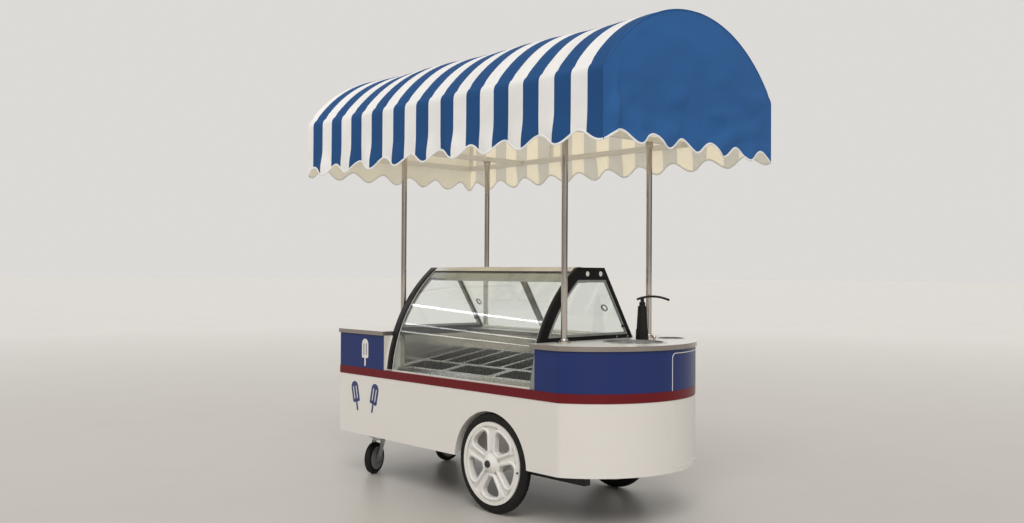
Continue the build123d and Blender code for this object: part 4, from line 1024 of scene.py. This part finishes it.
def bead_line(edge, seam):
    """A bead's line by (angle, height): from the seam along the foot, up the edge and back above."""
    corner = BEAD_CORNER / BOW_RADIUS * (1 if seam > edge else -1)
    foot = [(a, 0.0) for a in levels(seam, edge + corner, 24)]
    for turn in levels(0, pi / 2, 6)[1:]:
        foot.append((edge + corner * (1 - sin(turn)), BEAD_CORNER * (1 - cos(turn))))
    return [(a, BEAD_LOW + z) for a, z in foot] + [(a, BEAD_HIGH - z) for a, z in reversed(foot)]


def bead_on_bow(name, body, edge, seam):
    """A pale bead on the bowed end, over the stripe band where the body carries it."""
    line = bead_line(edge, seam)
    rings = []
    for k, (a, z) in enumerate(line):
        before, after = line[max(0, k - 1)], line[min(len(line) - 1, k + 1)]
        along = Vector(((after[0] - before[0]) * BOW_RADIUS, after[1] - before[1])).normalized()
        base = BOW_RADIUS + (BAND_PROUD if STRIPE_Z < z < LEDGE_Z and body == "cart" else 0)
        ring = []
        for across_by, rise in BEAD_SECTION:
            angle = a - along.y * across_by / BOW_RADIUS
            spot = Vector((cos(angle), sin(angle), 0)) * (base + rise)
            ring.append(spot + Vector((BOW_CENTRE, 0, z + along.x * across_by)))
        rings.append(ring)
    bead = Shape(name, body, "body_white")
    bead.bar(rings)
    bead.done(angle=60)


bead_on_bow("end_door_bead", "end_door", radians(54.3), radians(28.1))
bead_on_bow("end_panel_bead", "cart", radians(0.0), radians(27.3))

# Plain ice lollies in two colours on the left front
LOLLY_HALF = 0.031
LOLLY_TALL = 0.078
LOLLY_THICK = 0.0007
STICK_HALF = 0.0065
STICK_LONG = 0.040
GROOVE_X = 0.012
GROOVE_Z = 0.050
# One lower corner of the block: distance in from its side and height over its foot
LOLLY_CORNER = mm((0, 8), (2.4, 2.4), (8, 0))


def lolly(block, grooves, x, z, turn, size):
    """A pictogram of an ice lolly on the front: a rounded block with its stick, and two grooves."""
    board = place((x, -HALF_WIDTH, z), (0, -1, 0), (1, 0, 0))
    board = board @ Matrix.Rotation(turn, 4, "Z") @ Matrix.Scale(size, 4)
    top = [(LOLLY_HALF * cos(a), LOLLY_TALL + LOLLY_HALF * sin(a)) for a in levels(0, pi, 14)]
    left = [(inset - LOLLY_HALF, rise) for inset, rise in LOLLY_CORNER]
    right = [(-across, rise) for across, rise in reversed(left)]
    block.plate(board, top + left + right, LOLLY_THICK)
    end = [(STICK_HALF * cos(a), STICK_HALF * sin(a) - STICK_LONG) for a in levels(pi, 2 * pi, 8)]
    block.plate(board, [(STICK_HALF, 0), (-STICK_HALF, 0)] + end, LOLLY_THICK)
    face = board @ Matrix.Translation((0, 0, LOLLY_THICK - 0.0001))
    for middle_x in (-GROOVE_X, GROOVE_X):
        outline = [(middle_x + px, GROOVE_Z + py) for px, py in rounded(0.0065, 0.066, 0.0032, 4)]
        grooves.plate(face, outline, 0.0003)


blue_parts = Shape("motif_blue_parts", "cart", "cabinet_blue", "motif_blue")
white_parts = Shape("motif_white_parts", "cart", "body_white")
lolly(blue_parts, white_parts, -0.905, 0.452, radians(13), 1.15)
lolly(blue_parts, white_parts, -0.735, 0.452, radians(-13), 1.15)
lolly(white_parts, blue_parts, -0.820, 0.722, 0.0, 1.05)
blue_parts.done(smooth=False)
white_parts.done(smooth=False)

# Stage: a wide pale floor that grows lighter with distance, under a plain soft sky
FLOOR_REACH = 190
FLOOR_NEAR = (0.55, 0.525, 0.49)
FLOOR_FAR = (0.795, 0.775, 0.745)


def floor_tone(tree):
    """Pale grey by the cart, lighter far out, so that the floor runs on into the background."""
    squares = [maths(tree, "POWER", coordinate(tree, axis), 2) for axis in (0, 1)]
    distance = maths(tree, "SQRT", maths(tree, "ADD", *squares))
    return mix(tree, spread(tree, distance, 0.0, 1.0, 2.5, 16.0), FLOOR_NEAR, FLOOR_FAR)


floor_mesh = bpy.data.meshes.new("floor")
floor_corners = [(x * FLOOR_REACH, y * FLOOR_REACH, 0) for x, y in ((-1, -1), (1, -1), (1, 1), (-1, 1))]
floor_mesh.from_pydata(floor_corners, [], [(0, 1, 2, 3)])
surface("floor_pale", floor_tone, 0.40, vary=0.03, scale=0.6, grain=40, bump=0.01, rough_vary=0.02)
floor_mesh.materials.append(looks["floor_pale"])
floor = add("floor", floor_mesh)

sun = bpy.data.lights.new("sun", "SUN")
sun.energy = 1.45
sun.angle = radians(34)
sun.color = (1.0, 0.975, 0.94)
sun_lamp = add("sun", sun)
sun_lamp.rotation_euler = Vector((-0.46, 0.50, -0.74)).to_track_quat("-Z", "Y").to_euler()

GLASS_MIDDLE = Vector((0.0, -0.40, 0.95))


def strip(name, start, end, width, power):
    """A long narrow lamp that shows as a line in the curved glass."""
    light = bpy.data.lights.new(name, "AREA")
    light.shape = "RECTANGLE"
    along = Vector(end) - Vector(start)
    light.size = along.length
    light.size_y = width
    light.energy = power
    lamp = add(name, light)
    centre = (Vector(start) + Vector(end)) / 2
    lamp.matrix_world = place(centre, centre - GLASS_MIDDLE, along)
    lamp.visible_camera = False


strip("strip_top", (-4.05, -1.36, 3.17), (-1.95, -2.27, 3.21), 0.085, 4.2)
strip("strip_middle", (-4.05, -2.06, 2.57), (-1.95, -2.75, 2.64), 0.040, 1.5)
strip("strip_low", (-4.05, -2.28, 2.27), (-1.95, -2.91, 2.40), 0.035, 1.2)

# Sky: an even light, a patchy room for what shines, and a pale ground behind the cart
world = bpy.data.worlds.new("studio")
scene.world = world
world.use_nodes = True
sky = world.node_tree
sky.nodes.clear()
way = node(sky, "TexCoord").outputs["Generated"]
patches = node(sky, "TexNoise", Scale=1.9, Detail=1.0, Vector=way).outputs["Fac"]
room = mix(sky, spread(sky, patches, 0.0, 1.0, 0.42, 0.60), (0.17, 0.150, 0.130), (0.92, 0.90, 0.87))
rise = node(sky, "SeparateXYZ", Vector=way).outputs["Z"]
room = mix(sky, spread(sky, rise, 0.0, 1.0, 0.20, 0.55), room, (0.80, 0.785, 0.76))
behind = node(sky, "VectorMath", operation="DOT_PRODUCT")
feed(sky, behind.inputs[0], way)
feed(sky, behind.inputs[1], (-0.68, 0.73, 0.0))
bright = spread(sky, behind.outputs["Value"], 0.0, 1.0, 0.55, 0.90)
room = mix(sky, bright, room, (0.88, 0.86, 0.83))
ambient = node(sky, "Background", Strength=0.56, Color=(1.0, 0.98, 0.955))
mirrored = node(sky, "Background", Strength=0.9, Color=room)
pale = node(sky, "Background", Strength=0.72, Color=(1.0, 0.975, 0.94))
path = node(sky, "LightPath").outputs
in_gloss = blend(sky, path["Is Glossy Ray"], ambient, mirrored)
in_view = maths(sky, "MAXIMUM", path["Is Camera Ray"], path["Is Transmission Ray"])
node(sky, "OutputWorld", Surface=blend(sky, in_view, in_gloss, pale).outputs[0])

# Camera at the photograph's place
CAMERA_PLACE = (4.0074, -3.8085, 1.235)
SWING = radians(46.968)
PITCH = radians(0.684)
ROLL = radians(0.35)
FOCAL_PIXELS = 965.40
PICTURE_WIDTH = 1024
SENSOR_WIDTH = 36.0
ahead = Vector((-sin(SWING), cos(SWING), 0))
right = Vector((cos(SWING), sin(SWING), 0))
forward = ahead * cos(PITCH) + UP * sin(PITCH)
upward = UP * cos(PITCH) - ahead * sin(PITCH)
camera_right = right * cos(ROLL) + upward * sin(ROLL)
camera_up = upward * cos(ROLL) - right * sin(ROLL)
camera = add("camera", bpy.data.cameras.new("camera"))
turned = Matrix((camera_right, camera_up, -forward)).transposed().to_4x4()
camera.matrix_world = Matrix.Translation(CAMERA_PLACE) @ turned
camera.data.sensor_width = SENSOR_WIDTH
camera.data.lens = FOCAL_PIXELS * SENSOR_WIDTH / PICTURE_WIDTH
camera.data.clip_end = 600
scene.camera = camera

scene.view_settings.view_transform = "Standard"
